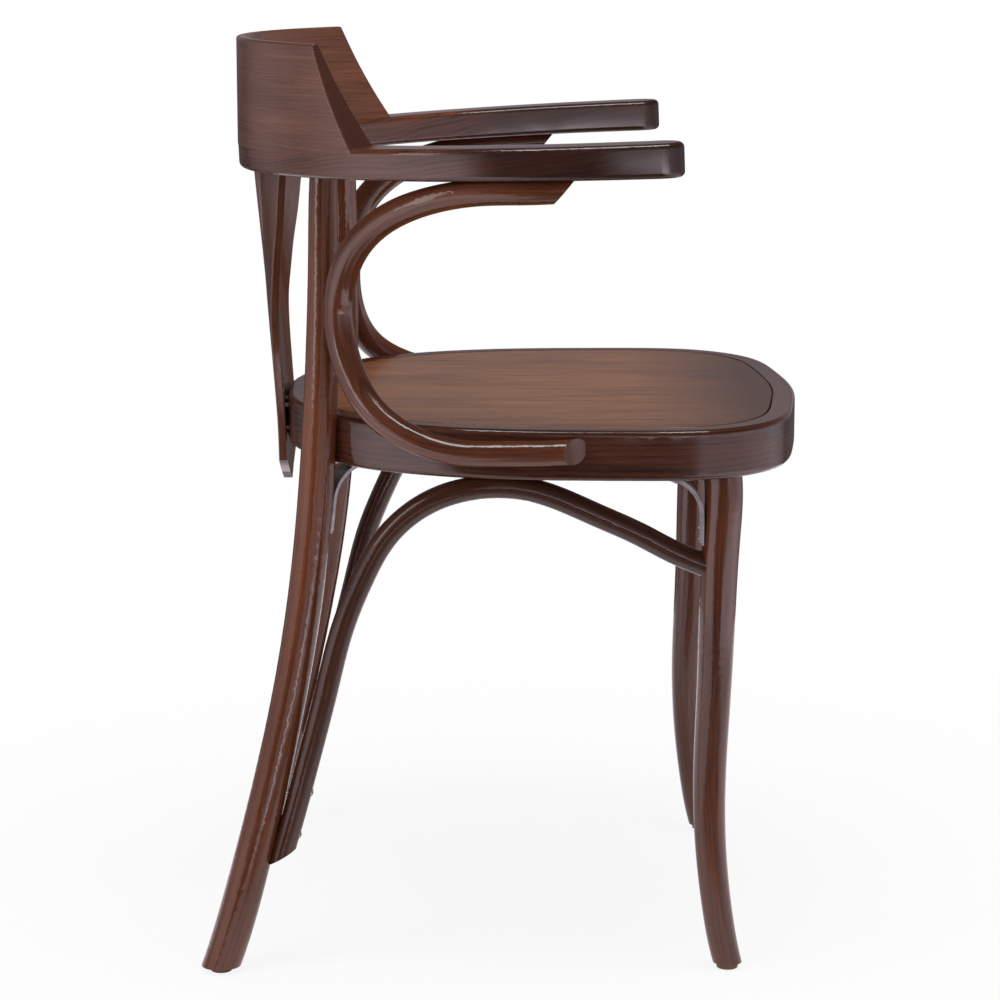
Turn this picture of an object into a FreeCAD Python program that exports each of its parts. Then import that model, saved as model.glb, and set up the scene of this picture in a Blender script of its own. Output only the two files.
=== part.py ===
"""Bentwood armchair in stained beech, built piece by piece in millimetres.

The chair stands on z = 0 and faces -Y. The sitter's left hand is at +X.
A bent ring carries the seat panel. Two bent rear legs pass outside the ring and
carry one bent bow that makes both arms and the back. A wedge-shaped crest is
glued on the bow, and three thin slats fan out below it. Bent rods brace the legs
under the ring and carry the arms at the sides.
"""
import FreeCAD
import Part
import math
import os
import Sketcher

Vector = FreeCAD.Vector
Rotation = FreeCAD.Rotation
Placement = FreeCAD.Placement

SIZES = {
    # seat ring and panel
    "seat_height": 464.5,
    "ring_height": 41.5,
    "ring_half_width": 238.0,
    "ring_rear_reach": 286.0,
    "ring_front_reach": 157.0,
    "ring_widest_place": -95.0,
    "ring_width": 48.0,
    "ring_edge_radius": 4.5,
    "rim_width": 19.0,
    "panel_thickness": 6.0,
    "rim_edge_radius": 1.4,
    "panel_gap": 0.8,
    "panel_edge_radius": 1.4,
    # arm bow
    "arm_height": 692.7,
    "bow_half_width": 272.0,
    "bow_reach": 353.8,
    "bow_centre_place": -123.0,
    "bow_width": 40.0,
    "bow_thickness": 28.0,
    "bow_tilt": 2.4,
    "bow_taper": 3.5,
    "bow_edge_radius": 4.5,
    # crest block
    "crest_height": 770.0,
    "crest_top_thickness": 7.5,
    "crest_foot_thickness": 34.0,
    "crest_half_width": 170.0,
    "crest_end_run": 41.0,
    "crest_end_hollow": 4.0,
    "crest_end_angle": 35.0,
    "crest_edge_radius": 2.2,
    "crest_edge_lift": 12.0,
    "dowel_diameter": 8.0,
    "dowel_length": 30.0,
    "dowel_spread": 105.0,
    "dowel_inset": 14.0,
    # back slats
    "slat_width": 38.0,
    "slat_thickness": 7.5,
    "slat_gap": 0.8,
    "slat_spread": 59.5,
    "slat_lean": 21.2,
    "slat_high_curve": 215.0,
    "slat_seat_depth": 0.5,
    "slat_drop": 47.0,
    "slat_point_rise": 26.0,
    "slat_point_floor": 6.0,
    "slat_tenon": 9.0,
    "slat_edge_radius": 1.5,
    # rear legs
    "rear_leg_diameter": 33.4,
    "rear_leg_top_spread": 139.0,
    "rear_leg_splay": 74.0,
    "rear_leg_top_place": 149.6,
    "rear_leg_sweep": 88.3,
    "rear_leg_seat_depth": 1.0,
    "rear_tenon_diameter": 15.0,
    "rear_tenon_length": 18.0,
    # front legs
    "front_leg_diameter": 31.8,
    "front_leg_top_spread": 202.0,
    "front_leg_splay": -1.0,
    "front_leg_top_place": -178.7,
    "front_leg_kick": 9.3,
    "front_tenon_diameter": 19.0,
    "front_tenon_length": 27.0,
    # brace arches
    "arch_diameter": 19.4,
    "arch_foot_height": 88.0,
    "arch_foot_spread": 206.0,
    "arch_crown_spread": 217.0,
    "arch_seat_depth": 1.2,
    "arch_end_depth": 6.7,
    "arch_dowel_diameter": 8.0,
    "arch_dowel_length": 30.0,
    "arch_foot_angle": 30.0,
    "arch_foot_trim": 8.3,
    # arm loops
    "loop_diameter": 24.4,
    "loop_end_diameter": 21.0,
    "loop_bend_spread": 178.0,
    "loop_front_place": -57.0,
    "loop_reach": 193.0,
    "loop_seat_depth": 2.6,
    "left_loop_setback": 12.5,
    "left_loop_low_setback": 28.0,
    "left_loop_bend_spread": 184.0,
    "loop_dowel_diameter": 6.0,
    "loop_dowel_length": 24.0,
    "loop_dowel_place": 17.0,
    "loop_dowel_pitch": 30.0,
    "loop_low_angle": 45.0,
    "loop_high_angle": 40.0,
    "loop_high_setback": 8.0,
    # steel corner brackets
    "bracket_width": 18.0,
    "bracket_gauge": 2.0,
    "bracket_drop": 58.0,
    "bracket_run": 46.0,
    "bracket_bend_radius": 34.0,
    "bracket_rib_height": 1.6,
    "bracket_rib_width": 3.0,
    "bracket_rib_inset": 1.2,
    "bracket_bite": 0.8,
    "bracket_screw_setback": 6.0,
    "bracket_screw_pitch": 9.6,
    # foot glides
    "glide_diameter": 18.0,
    "glide_height": 5.0,
    "glide_edge_radius": 1.0,
    "nail_diameter": 2.4,
    "nail_head_diameter": 6.0,
    "nail_head_height": 1.2,
    "nail_length": 16.0,
    # screws and bolts
    "screw_diameter": 4.0,
    "screw_head_diameter": 8.0,
    "screw_head_height": 2.6,
    "screw_length": 34.0,
    "short_screw_length": 16.0,
    "screw_sink": 1.2,
    "screw_well_diameter": 8.3,
    "screw_well_depth": 6.0,
    "foot_screw_height": 112.0,
    "foot_screw_pitch": 37.0,
    "crown_screw_pitch": 38.0,
    "crown_screw_sink": 3.2,
    "slot_width": 1.0,
    "bolt_diameter": 7.0,
    "bolt_head_diameter": 13.0,
    "bolt_head_height": 5.0,
    "bolt_length": 64.0,
    "washer_diameter": 20.0,
    "washer_thickness": 1.6,
    "washer_hole_diameter": 7.4,
    "washer_sink": 0.4,
    "loop_bolt_place": -44.0,
    "loop_bolt_pitch": 44.0,
    # one overrun for every cutting tool
    "overrun": 60.0,
}

# Half of the ring's outline from the rear to the front: share of the half width,
# and share of the rear reach (first rows) or of the front reach (last rows).
RING_REAR_SHARES = (
    (0.0, 1.0), (0.252, 0.9846), (0.42, 0.9425), (0.681, 0.82), (0.867, 0.6195), (0.972, 0.352),
)
RING_FRONT_SHARES = ((1.0, 0.0), (0.96, 0.508), (0.774, 0.813), (0.413, 0.952), (0.0, 1.0))

# Leg sections from the floor up: share of the leg's height, of its splay, of its
# sweep or kick, and of its diameter.
REAR_LEG_SHARES = (
    (0.0, 1.0, 1.0, 1.0),
    (0.05, 0.959, 0.876, 1.004),
    (0.12, 0.904, 0.731, 0.981),
    (0.23, 0.8, 0.529, 0.922),
    (0.37, 0.636, 0.307, 0.887),
    (0.52, 0.459, 0.142, 0.894),
    (0.64, 0.338, 0.066, 0.885),
    (0.76, 0.229, 0.024, 0.838),
    (0.91, 0.084, 0.008, 0.748),
    (1.0, 0.0, 0.0, 0.701),
)
FRONT_LEG_SHARES = (
    (0.0, 1.0, 1.0, 0.774),
    (0.112, 1.0, 0.011, 0.792),
    (0.239, 1.0, -0.624, 0.818),
    (0.3835, 1.0, -0.806, 0.862),
    (0.538, 1.0, -0.559, 0.899),
    (0.662, 0.5, -0.376, 0.931),
    (0.866, 0.0, -0.075, 0.984),
    (1.0, 0.0, 0.0, 1.0),
)

# Brace arch from its foot on the rear leg to its end in the front leg: share of
# the way forward, of the rise, and of the spread from foot to crown.
ARCH_SHARES = (
    (0.0, 0.0, 0.0),
    (0.0063, 0.031, -0.09),
    (0.0265, 0.109, -0.27),
    (0.0676, 0.275, -0.45),
    (0.114, 0.472, -0.58),
    (0.154, 0.637, -0.52),
    (0.197, 0.7535, -0.36),
    (0.2467, 0.855, -0.05),
    (0.366, 0.967, 0.64),
    (0.471, 1.0, 1.0),
    (0.577, 0.995, 1.0),
    (0.729, 0.929, 0.64),
    (0.832, 0.875, 0.27),
    (0.913, 0.826, -0.09),
    (0.989, 0.79, -0.27),
    (1.0, 0.785, -0.27),
)

# Share of the loop's rise at which its lower run's own setback has faded out.
LOOP_FADE_SHARE = 0.5

# Arm loop from the ring's side round the bend to the arm: share of the reach back
# from the front end, of the rise, of the spread past the bend, and of how far the
# rod has thickened from its ends to its middle.
LOOP_SHARES = (
    (-0.08, 0.03, 1.01, 0.0),
    (0.0, 0.024, 1.0, 0.0),
    (0.166, 0.015, 0.957, 0.0),
    (0.34, 0.01, 0.885, 0.1),
    (0.508, 0.01, 0.773, 0.2),
    (0.684, 0.052, 0.625, 0.45),
    (0.826, 0.127, 0.442, 0.7),
    (0.958, 0.303, 0.132, 0.95),
    (1.0, 0.533, 0.0, 1.0),
    (0.917, 0.763, 0.147, 0.95),
    (0.8, 0.864, 0.324, 0.7),
    (0.643, 0.934, 0.56, 0.45),
    (0.384, 0.983, 0.854, 0.2),
    (0.198, 0.99, 1.0, 0.1),
    (0.0, 1.0, 1.06, 0.0),
    (-0.07, 1.003, 1.08, 0.0),
)

# Slats from the point up: share of the height, of the spread, of the lean back, and
# of the strip's curvature at the top.
SLAT_SHARES = (
    (0.0, 0.0, -0.08, 0.14),
    (0.0995, 0.0, -0.038, 0.15),
    (0.199, 0.0, 0.014, 0.2),
    (0.305, 0.0, 0.146, 0.34),
    (0.408, 0.0, 0.29, 0.5),
    (0.491, 0.015, 0.39, 0.6),
    (0.566, 0.08, 0.476, 0.72),
    (0.635, 0.21, 0.547, 0.85),
    (0.72, 0.4, 0.651, 0.93),
    (0.799, 0.59, 0.755, 1.0),
    (0.892, 0.79, 0.877, 1.0),
    (1.0, 1.0, 1.0, 1.0),
)
SLAT_STATIONS = 28

# A screw's head from its middle outwards: share of the head's radius and height.
SCREW_HEAD_SHARES = ((0.0, 1.0), (0.45, 0.93), (0.8, 0.66), (1.0, 0.2), (1.0, 0.0))

# A screw's point: shares of the shank's radius outwards, and upwards from the tip.
SCREW_TIP_SHARES = ((1.0, 3.0), (0.5, 1.0), (0.0, 0.0))

# Two screws in each slat's foot, as shares of the ring's height, and the crest's
# dowels, as shares of their spread.
SLAT_SCREW_SHARES = (0.27, 0.73)
CREST_DOWEL_SHARES = (-1.0, -0.38, 0.38, 1.0)

SIDES = (("left", 1), ("right", -1))

doc = FreeCAD.newDocument("bentwood_armchair")
sheet = doc.addObject("Spreadsheet::Sheet", "Sizes")
for row, (alias, size) in enumerate(SIZES.items(), start=1):
    sheet.set(f"A{row}", alias)
    sheet.set(f"B{row}", str(size))
    sheet.setAlias(f"B{row}", alias)
doc.recompute()

pieces = {}


def size(alias):
    """The sheet's value for one driving dimension."""
    return float(sheet.get(alias))


def name_piece(item, label):
    """Give a finished piece its node name."""
    item.Label = label
    pieces[label] = item
    return item


def new_body(name):
    """An empty body whose features take their sizes from the sheet."""
    return doc.addObject("PartDesign::Body", name)


def origin_plane(body, role):
    """One of the body's own origin planes."""
    return next(item for item in body.Origin.OriginFeatures if item.Role == role)


def new_sketch(body, name, role="XY_Plane"):
    """A sketch on one of the body's origin planes."""
    sketch = body.newObject("Sketcher::SketchObject", name)
    sketch.AttachmentSupport = [(origin_plane(body, role), "")]
    sketch.MapMode = "FlatFace"
    return sketch


def add_circle(sketch, diameter, share=1):
    """A circle on the sketch's origin whose radius follows a named diameter."""
    radius = size(diameter) * share / 2
    index = sketch.addGeometry(Part.Circle(Vector(0, 0, 0), Vector(0, 0, 1), radius), False)
    sketch.addConstraint(Sketcher.Constraint("Coincident", index, 3, -1, 1))
    bound = sketch.addConstraint(Sketcher.Constraint("Radius", index, radius))
    sketch.setExpression(f"Constraints[{bound}]", f"Sizes.{diameter} * {share} / 2")


def add_polygon(sketch, corners):
    """A closed run of straight lines through the corners."""
    points = [Vector(x, y, 0) for x, y in corners]
    lines = [Part.LineSegment(a, b) for a, b in zip(points, points[1:] + points[:1])]
    sketch.addGeometry(lines, False)
    for index in range(len(lines)):
        follower = (index + 1) % len(lines)
        sketch.addConstraint(Sketcher.Constraint("Coincident", index, 2, follower, 1))


def new_solid(name, shape):
    """A feature that holds a shape made with curves and lofts."""
    item = doc.addObject("Part::Feature", name)
    item.Shape = shape
    item.Placement = Placement()
    return item


def cut_away(name, base, *groups):
    """The base piece with every tool's shape taken out of it, one group after another."""
    cut = base
    for number, tools in enumerate(groups):
        gathered = doc.addObject("Part::Compound", f"{name}_tools_{number}")
        gathered.Links = tools
        before = cut
        cut = doc.addObject("Part::Cut", f"{name}_cut_{number}")
        cut.Base = before
        cut.Tool = gathered
    return cut


def joined(name, items):
    """Several like solids under one node name."""
    group = doc.addObject("Part::Compound", name + "_group")
    group.Links = items
    return name_piece(group, name)


# Seat ring: the outline is one smooth closed curve, and the rebate, the panel and
# the inner edge are that curve moved inwards.
ring_bottom = size("seat_height") - size("ring_height")
ring_widest = size("ring_widest_place")


def ring_spline():
    """The ring's outer outline as a closed curve."""
    half = [(x, ring_widest + size("ring_rear_reach") * y) for x, y in RING_REAR_SHARES]
    half += [(x, ring_widest - size("ring_front_reach") * y) for x, y in RING_FRONT_SHARES]
    half = [(x * size("ring_half_width"), y) for x, y in half]
    other = [(-x, y) for x, y in reversed(half[1:-1])]
    curve = Part.BSplineCurve()
    curve.interpolate(Points=[Vector(x, y, 0) for x, y in half + other], PeriodicFlag=True)
    return curve


RING_CURVE = ring_spline()
OUTLINE_STATIONS = 40


def ring_outline(inset):
    """The ring's outline moved inwards by the inset."""
    first, last = RING_CURVE.FirstParameter, RING_CURVE.LastParameter
    points = []
    for station in range(OUTLINE_STATIONS):
        at = first + (last - first) * station / OUTLINE_STATIONS
        tangent = RING_CURVE.tangent(at)[0]
        inwards = Vector(tangent.y, -tangent.x, 0)
        points.append(RING_CURVE.value(at) + inwards * inset)
    curve = Part.BSplineCurve()
    curve.interpolate(Points=points, PeriodicFlag=True)
    return curve


def ring_half_width_at(place):
    """Half the ring's outer width at one place along Y."""
    across = Part.Plane(Vector(0, place, 0), Vector(0, 1, 0))
    return max(point.X for point in RING_CURVE.intersect(across)[0])


def horizontal_edges(shape, height, tolerance=1e-3):
    """The names of the edges that lie flat at one height."""
    return [
        f"Edge{index}"
        for index, edge in enumerate(shape.Edges, start=1)
        if abs(edge.BoundBox.ZMin - height) < tolerance and abs(edge.BoundBox.ZMax - height) < tolerance
    ]


ring_body = new_body("ring_body")
outline = new_sketch(ring_body, "ring_outline")
outline.setExpression("AttachmentOffset.Base.z", "Sizes.seat_height - Sizes.ring_height")
outline.addGeometry([RING_CURVE, ring_outline(size("ring_width"))], False)
ring_pad = ring_body.newObject("PartDesign::Pad", "ring_pad")
ring_pad.Profile = outline
ring_pad.setExpression("Length", "Sizes.ring_height")
doc.recompute()
rebate_sketch = new_sketch(ring_body, "rebate_outline")
rebate_sketch.setExpression("AttachmentOffset.Base.z", "Sizes.seat_height")
rebate_sketch.addGeometry([ring_outline(size("rim_width"))], False)
rebate = ring_body.newObject("PartDesign::Pocket", "panel_rebate")
rebate.Profile = rebate_sketch
rebate.setExpression("Length", "Sizes.panel_thickness")
doc.recompute()
ring_round = ring_body.newObject("PartDesign::Fillet", "ring_round")
rim_edges = horizontal_edges(rebate.Shape, size("seat_height"))
foot_edges = horizontal_edges(rebate.Shape, ring_bottom)
longest = max(rim_edges, key=lambda name: rebate.Shape.getElement(name).Length)
lowest = max(foot_edges, key=lambda name: rebate.Shape.getElement(name).Length)
ring_round.Base = (rebate, [longest, lowest])
ring_round.setExpression("Radius", "Sizes.ring_edge_radius")
doc.recompute()
rim_round = ring_body.newObject("PartDesign::Fillet", "rim_round")
top_edges = horizontal_edges(ring_round.Shape, size("seat_height"))
shortest = min(top_edges, key=lambda name: ring_round.Shape.getElement(name).Length)
rim_round.Base = (ring_round, [shortest])
rim_round.setExpression("Radius", "Sizes.rim_edge_radius")

panel_body = new_body("panel_body")
panel_sketch = new_sketch(panel_body, "panel_outline")
panel_sketch.setExpression("AttachmentOffset.Base.z", "Sizes.seat_height - Sizes.panel_thickness")
panel_sketch.addGeometry([ring_outline(size("rim_width") + size("panel_gap"))], False)
panel_pad = panel_body.newObject("PartDesign::Pad", "panel_pad")
panel_pad.Profile = panel_sketch
panel_pad.setExpression("Length", "Sizes.panel_thickness")
doc.recompute()
panel_round = panel_body.newObject("PartDesign::Fillet", "panel_round")
panel_round.Base = (panel_pad, horizontal_edges(panel_pad.Shape, size("seat_height")))
panel_round.setExpression("Radius", "Sizes.panel_edge_radius")
name_piece(panel_body, "seat_panel")

# Arm bow: half an ellipse in plan with round ends, laid on a plane that rises
# towards the front, and a little thinner at the rear than at the arms' tips.
bow_centre = size("bow_centre_place")
TILT = math.radians(size("bow_tilt"))


def bow_top_at(place):
    """Height of the bow's upper face at one place along Y."""
    return size("arm_height") - place * math.tan(TILT)


def bow_lift_at(place):
    """How far the bow's lower face is raised at one place, as the bow thins to the rear."""
    nose = bow_centre - size("bow_width")
    return size("bow_taper") * (place - nose) / (bow_centre + size("bow_reach") - nose)


def bow_under_at(place):
    """Height of the bow's lower face at one place along Y."""
    return bow_top_at(place) - (size("bow_thickness") - bow_lift_at(place)) / math.cos(TILT)


def bow_ellipse(inset, height=0.0):
    """The bow's plan ellipse moved inwards, major axis along Y."""
    centre = Vector(0, bow_centre, height)
    end = centre + Vector(0, size("bow_reach") - inset, 0)
    side = centre + Vector(size("bow_half_width") - inset, 0, 0)
    return Part.Ellipse(end, side, centre)


def bow_place_at(spread, inset):
    """Where the moved ellipse crosses one distance from the middle."""
    share = spread / (size("bow_half_width") - inset)
    return bow_centre + (size("bow_reach") - inset) * math.sqrt(1 - share * share)


bow_body = new_body("bow_body")
bow_sketch = new_sketch(bow_body, "bow_outline")
quarter = math.pi / 2
outer_arc = Part.ArcOfEllipse(bow_ellipse(0), -quarter, quarter)
inner_arc = Part.ArcOfEllipse(bow_ellipse(size("bow_width")), -quarter, quarter)
end_arcs = []
for name, side in SIDES:
    middle = size("bow_half_width") - size("bow_width") / 2
    outer_end = Vector(side * size("bow_half_width"), bow_centre, 0)
    tip = Vector(side * middle, bow_centre - size("bow_width") / 2, 0)
    inner_end = Vector(side * (size("bow_half_width") - size("bow_width")), bow_centre, 0)
    end_arcs.append(Part.Arc(outer_end, tip, inner_end))
bow_sketch.addGeometry([outer_arc, inner_arc] + end_arcs, False)
bow_pad = bow_body.newObject("PartDesign::Pad", "bow_pad")
bow_pad.Profile = bow_sketch
bow_pad.setExpression("Length", "Sizes.bow_thickness")
doc.recompute()
taper_sketch = new_sketch(bow_body, "taper_side", "YZ_Plane")
taper_sketch.setExpression("AttachmentOffset.Base.z", "Sizes.bow_half_width + Sizes.overrun")
nose = bow_centre - size("bow_width")
tail = size("bow_reach")
below = -size("bow_edge_radius")
add_polygon(taper_sketch, ((nose, 0), (nose, below), (tail, below), (tail, bow_lift_at(tail))))
bow_taper = bow_body.newObject("PartDesign::Pocket", "bow_taper")
bow_taper.Profile = taper_sketch
bow_taper.setExpression("Length", "(Sizes.bow_half_width + Sizes.overrun) * 2")
doc.recompute()
bow_round = bow_body.newObject("PartDesign::Fillet", "bow_round")
long_edges = horizontal_edges(bow_taper.Shape, size("bow_thickness"))
for index, edge in enumerate(bow_taper.Shape.Edges, start=1):
    if edge.BoundBox.ZMax < size("bow_thickness") / 2:
        long_edges.append(f"Edge{index}")
bow_round.Base = (bow_taper, long_edges)
bow_round.setExpression("Radius", "Sizes.bow_edge_radius")
turn = Rotation(Vector(1, 0, 0), -size("bow_tilt"))
bow_floor = bow_top_at(0) - size("bow_thickness") / math.cos(TILT)
bow_body.Placement = Placement(Vector(0, 0, bow_floor), turn)

# Legs: lofts through round sections, with a tenon on top.


def leg(name, shares, top, foot, spread, splay, place, sweep, diameter, side):
    """A leg lofted through round sections that follow the named sizes."""
    body = new_body(name + "_body")
    sections = []
    for number, (rise, out, back, girth) in enumerate(shares):
        sketch = new_sketch(body, f"{name}_section_{number}")
        sketch.setExpression("AttachmentOffset.Base.x", f"{side} * ({spread} + {splay} * {out})")
        sketch.setExpression("AttachmentOffset.Base.y", f"{place} + {sweep} * {back}")
        sketch.setExpression("AttachmentOffset.Base.z", f"{foot} + ({top} - {foot}) * {rise}")
        add_circle(sketch, diameter, girth)
        sections.append(sketch)
    doc.recompute()
    loft = body.newObject("PartDesign::AdditiveLoft", name + "_loft")
    loft.Profile = sections[0]
    loft.Sections = sections[1:]
    doc.recompute()
    return body


def tenon(body, name, top, spread, place, diameter, length, side):
    """A round tenon that stands on the leg's top."""
    sketch = new_sketch(body, name + "_tenon_round")
    sketch.setExpression("AttachmentOffset.Base.x", f"{side} * {spread}")
    sketch.setExpression("AttachmentOffset.Base.y", place)
    sketch.setExpression("AttachmentOffset.Base.z", f"{top}")
    add_circle(sketch, diameter)
    pad = body.newObject("PartDesign::Pad", name + "_tenon")
    pad.Profile = sketch
    pad.setExpression("Length", length)
    doc.recompute()


rear_top = bow_under_at(size("rear_leg_top_place")) + size("rear_leg_seat_depth")
legs = {}
for name, side in SIDES:
    rear = leg(
        "rear_leg_" + name, REAR_LEG_SHARES, rear_top, "Sizes.glide_height",
        "Sizes.rear_leg_top_spread", "Sizes.rear_leg_splay",
        "Sizes.rear_leg_top_place", "Sizes.rear_leg_sweep", "rear_leg_diameter", side,
    )
    tenon(
        rear, "rear_leg_" + name, rear_top, "Sizes.rear_leg_top_spread",
        "Sizes.rear_leg_top_place", "rear_tenon_diameter", "Sizes.rear_tenon_length", side,
    )
    front = leg(
        "front_leg_" + name, FRONT_LEG_SHARES, ring_bottom, "Sizes.glide_height",
        "Sizes.front_leg_top_spread", "Sizes.front_leg_splay",
        "Sizes.front_leg_top_place", "-Sizes.front_leg_kick", "front_leg_diameter", side,
    )
    tenon(
        front, "front_leg_" + name, ring_bottom, "Sizes.front_leg_top_spread",
        "Sizes.front_leg_top_place", "front_tenon_diameter", "Sizes.front_tenon_length", side,
    )
    legs["rear_" + name] = rear
    legs["front_" + name] = front


def leg_centre(shares, height, top, spread, splay, place, sweep, side):
    """The middle of a leg at one height, between its sections."""
    foot = size("glide_height")
    rise = (height - foot) / (top - foot)
    lower = max(index for index, row in enumerate(shares[:-1]) if row[0] <= rise)
    below, above = shares[lower], shares[lower + 1]
    part = (rise - below[0]) / (above[0] - below[0])
    out = below[1] + (above[1] - below[1]) * part
    back = below[2] + (above[2] - below[2]) * part
    girth = below[3] + (above[3] - below[3]) * part
    return Vector(side * (spread + splay * out), place + sweep * back, height), girth


def rear_leg_at(height, side):
    """The rear leg's middle and diameter at one height."""
    centre, girth = leg_centre(
        REAR_LEG_SHARES, height, rear_top, size("rear_leg_top_spread"), size("rear_leg_splay"),
        size("rear_leg_top_place"), size("rear_leg_sweep"), side,
    )
    return centre, girth * size("rear_leg_diameter")


def front_leg_at(height, side):
    """The front leg's middle and diameter at one height."""
    centre, girth = leg_centre(
        FRONT_LEG_SHARES, height, ring_bottom, size("front_leg_top_spread"), size("front_leg_splay"),
        size("front_leg_top_place"), -size("front_leg_kick"), side,
    )
    return centre, girth * size("front_leg_diameter")


# Bent rods: round sections set square to a smooth path.


def smooth_path(points):
    """One smooth curve through the points."""
    curve = Part.BSplineCurve()
    curve.interpolate(Points=points)
    return curve


def round_section(centre, along, radius):
    """A round section square to the path, turned the same way at every station."""
    across = Vector(1, 0, 0) - along * along.x
    across.normalize()
    section = Part.makeCircle(radius)
    section.Placement = Placement(centre, Rotation(across, along.cross(across), along, "ZXY"))
    return Part.Wire([section])


def bent_rod(points, radii):
    """A rod lofted through round sections along the points."""
    curve = smooth_path(points)
    sections = []
    for point, radius in zip(points, radii):
        sections.append(round_section(point, curve.tangent(curve.parameter(point))[0], radius))
    return Part.makeLoft(sections, True, False)


def nearest_on(curve, point):
    """The curve's own point nearest to a given one."""
    return curve.value(curve.parameter(point))


def half_space(name, point, outwards):
    """A large box whose one face passes through the point and looks back at the piece."""
    box = doc.addObject("Part::Box", name)
    box.setExpression("Length", "Sizes.overrun * 2")
    box.setExpression("Width", "Sizes.overrun * 2")
    box.setExpression("Height", "Sizes.overrun")
    turned = Rotation(Vector(0, 0, 1), outwards)
    corner = turned.multVec(Vector(-size("overrun"), -size("overrun"), 0))
    box.Placement = Placement(point + corner, turned)
    return box


arch_radius = size("arch_diameter") / 2
arch_crown_height = ring_bottom - arch_radius + size("arch_seat_depth")
arch_rods = {}
arch_paths = {}
for name, side in SIDES:
    low, girth = rear_leg_at(size("arch_foot_height"), side)
    start_place = low.y - girth / 2 - arch_radius + size("arch_seat_depth")
    end_place = size("front_leg_top_place") + size("arch_end_depth")
    points = []
    for forward, rise, out in ARCH_SHARES:
        spread = size("arch_foot_spread") + (size("arch_crown_spread") - size("arch_foot_spread")) * out
        place = start_place + (end_place - start_place) * forward
        height = size("arch_foot_height") + (arch_crown_height - size("arch_foot_height")) * rise
        points.append(Vector(side * spread, place, height))
    arch_paths[name] = smooth_path(points)
    arch_rods[name] = new_solid("arch_rod_" + name, bent_rod(points, [arch_radius] * len(points)))

loop_radius = size("loop_end_diameter") / 2
loop_place = size("loop_front_place")
loop_low = ring_bottom + size("ring_height") / 2
loop_high = bow_under_at(loop_place) - loop_radius + size("loop_seat_depth")
loop_end_spread = size("ring_half_width") + loop_radius - size("loop_seat_depth")
loop_rods = {}
loop_paths = {}
loop_setbacks = {"left": size("left_loop_setback"), "right": 0}
loop_low_setbacks = {"left": size("left_loop_low_setback"), "right": 0}
loop_bend_spreads = {"left": size("left_loop_bend_spread"), "right": size("loop_bend_spread")}
for name, side in SIDES:
    points = []
    radii = []
    for back, rise, out, fat in LOOP_SHARES:
        place = loop_place + size("loop_reach") * back
        spread = loop_bend_spreads[name] + (loop_end_spread - loop_bend_spreads[name]) * out
        low_part = max(0, 1 - rise / LOOP_FADE_SHARE)
        setback = loop_setbacks[name] + (loop_low_setbacks[name] - loop_setbacks[name]) * low_part
        narrowing = ring_half_width_at(place + setback) - ring_half_width_at(place)
        spread += narrowing * (1 - fat)
        place += setback
        height = loop_low + (loop_high - loop_low) * rise
        points.append(Vector(side * spread, place, height))
        radii.append(loop_radius + (size("loop_diameter") / 2 - loop_radius) * fat)
    loop_paths[name] = smooth_path(points)
    loop_rods[name] = new_solid("loop_rod_" + name, bent_rod(points, radii))

# Crest: a wedge-shaped ring cut from the bow's own ellipse, with swept ends.
crest_centre = bow_centre + size("bow_thickness") * math.sin(TILT)
crest_foot = bow_top_at(bow_centre + size("bow_reach"))
crest_rise = size("crest_height") - crest_foot
crest_slope = (size("crest_foot_thickness") - size("crest_top_thickness")) / crest_rise


def half_ellipse(inset, centre_place, height):
    """The rear half of the moved ellipse, closed by a straight line."""
    centre = Vector(0, centre_place, height)
    end = centre + Vector(0, size("bow_reach") - inset, 0)
    across = centre + Vector(size("bow_half_width") - inset, 0, 0)
    arc = Part.ArcOfEllipse(Part.Ellipse(end, across, centre), -quarter, quarter)
    return Part.Wire([arc.toShape(), Part.makeLine(arc.EndPoint, arc.StartPoint)])


def crest_section(height):
    """The crest's inner outline at one height."""
    inset = size("crest_top_thickness") + crest_slope * (size("crest_height") - height)
    return half_ellipse(inset, crest_centre, height)


def crest_end(side):
    """The cutter for one swept end, slightly hollow along its slope."""
    angle = math.radians(size("crest_end_angle"))
    across = Vector(side * math.cos(angle), math.sin(angle), 0)
    along = Vector(-side * math.sin(angle), math.cos(angle), 0)
    share = size("crest_half_width") / size("bow_half_width")
    corner = Vector(size("crest_half_width"), crest_centre, 0)
    corner.y += size("bow_reach") * math.sqrt(1 - share * share)
    top = -corner.x * math.sin(angle) + corner.y * math.cos(angle)
    low = top - size("crest_end_run")
    middle = (top + low) / 2 + size("crest_end_hollow")
    steep = size("crest_end_run") / crest_rise
    far = -size("bow_reach") * 2

    def at(place, height):
        return along * place + Vector(0, 0, height) - across * size("bow_half_width")

    above = size("crest_height") + size("crest_edge_lift")
    crown = at(top + steep * size("crest_edge_lift"), above)
    waist = at(middle, (size("crest_height") + crest_foot) / 2)
    foot = at(low, crest_foot)
    deep = at(low, crest_foot - size("overrun"))
    edges = [
        Part.Arc(crown, waist, foot).toShape(),
        Part.makeLine(foot, deep),
        Part.makeLine(deep, at(far, crest_foot - size("overrun"))),
        Part.makeLine(at(far, crest_foot - size("overrun")), at(far, above)),
        Part.makeLine(at(far, above), crown),
    ]
    width = size("bow_half_width") * 2 + size("overrun")
    return Part.Face(Part.Wire(edges)).extrude(across * width)


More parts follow.
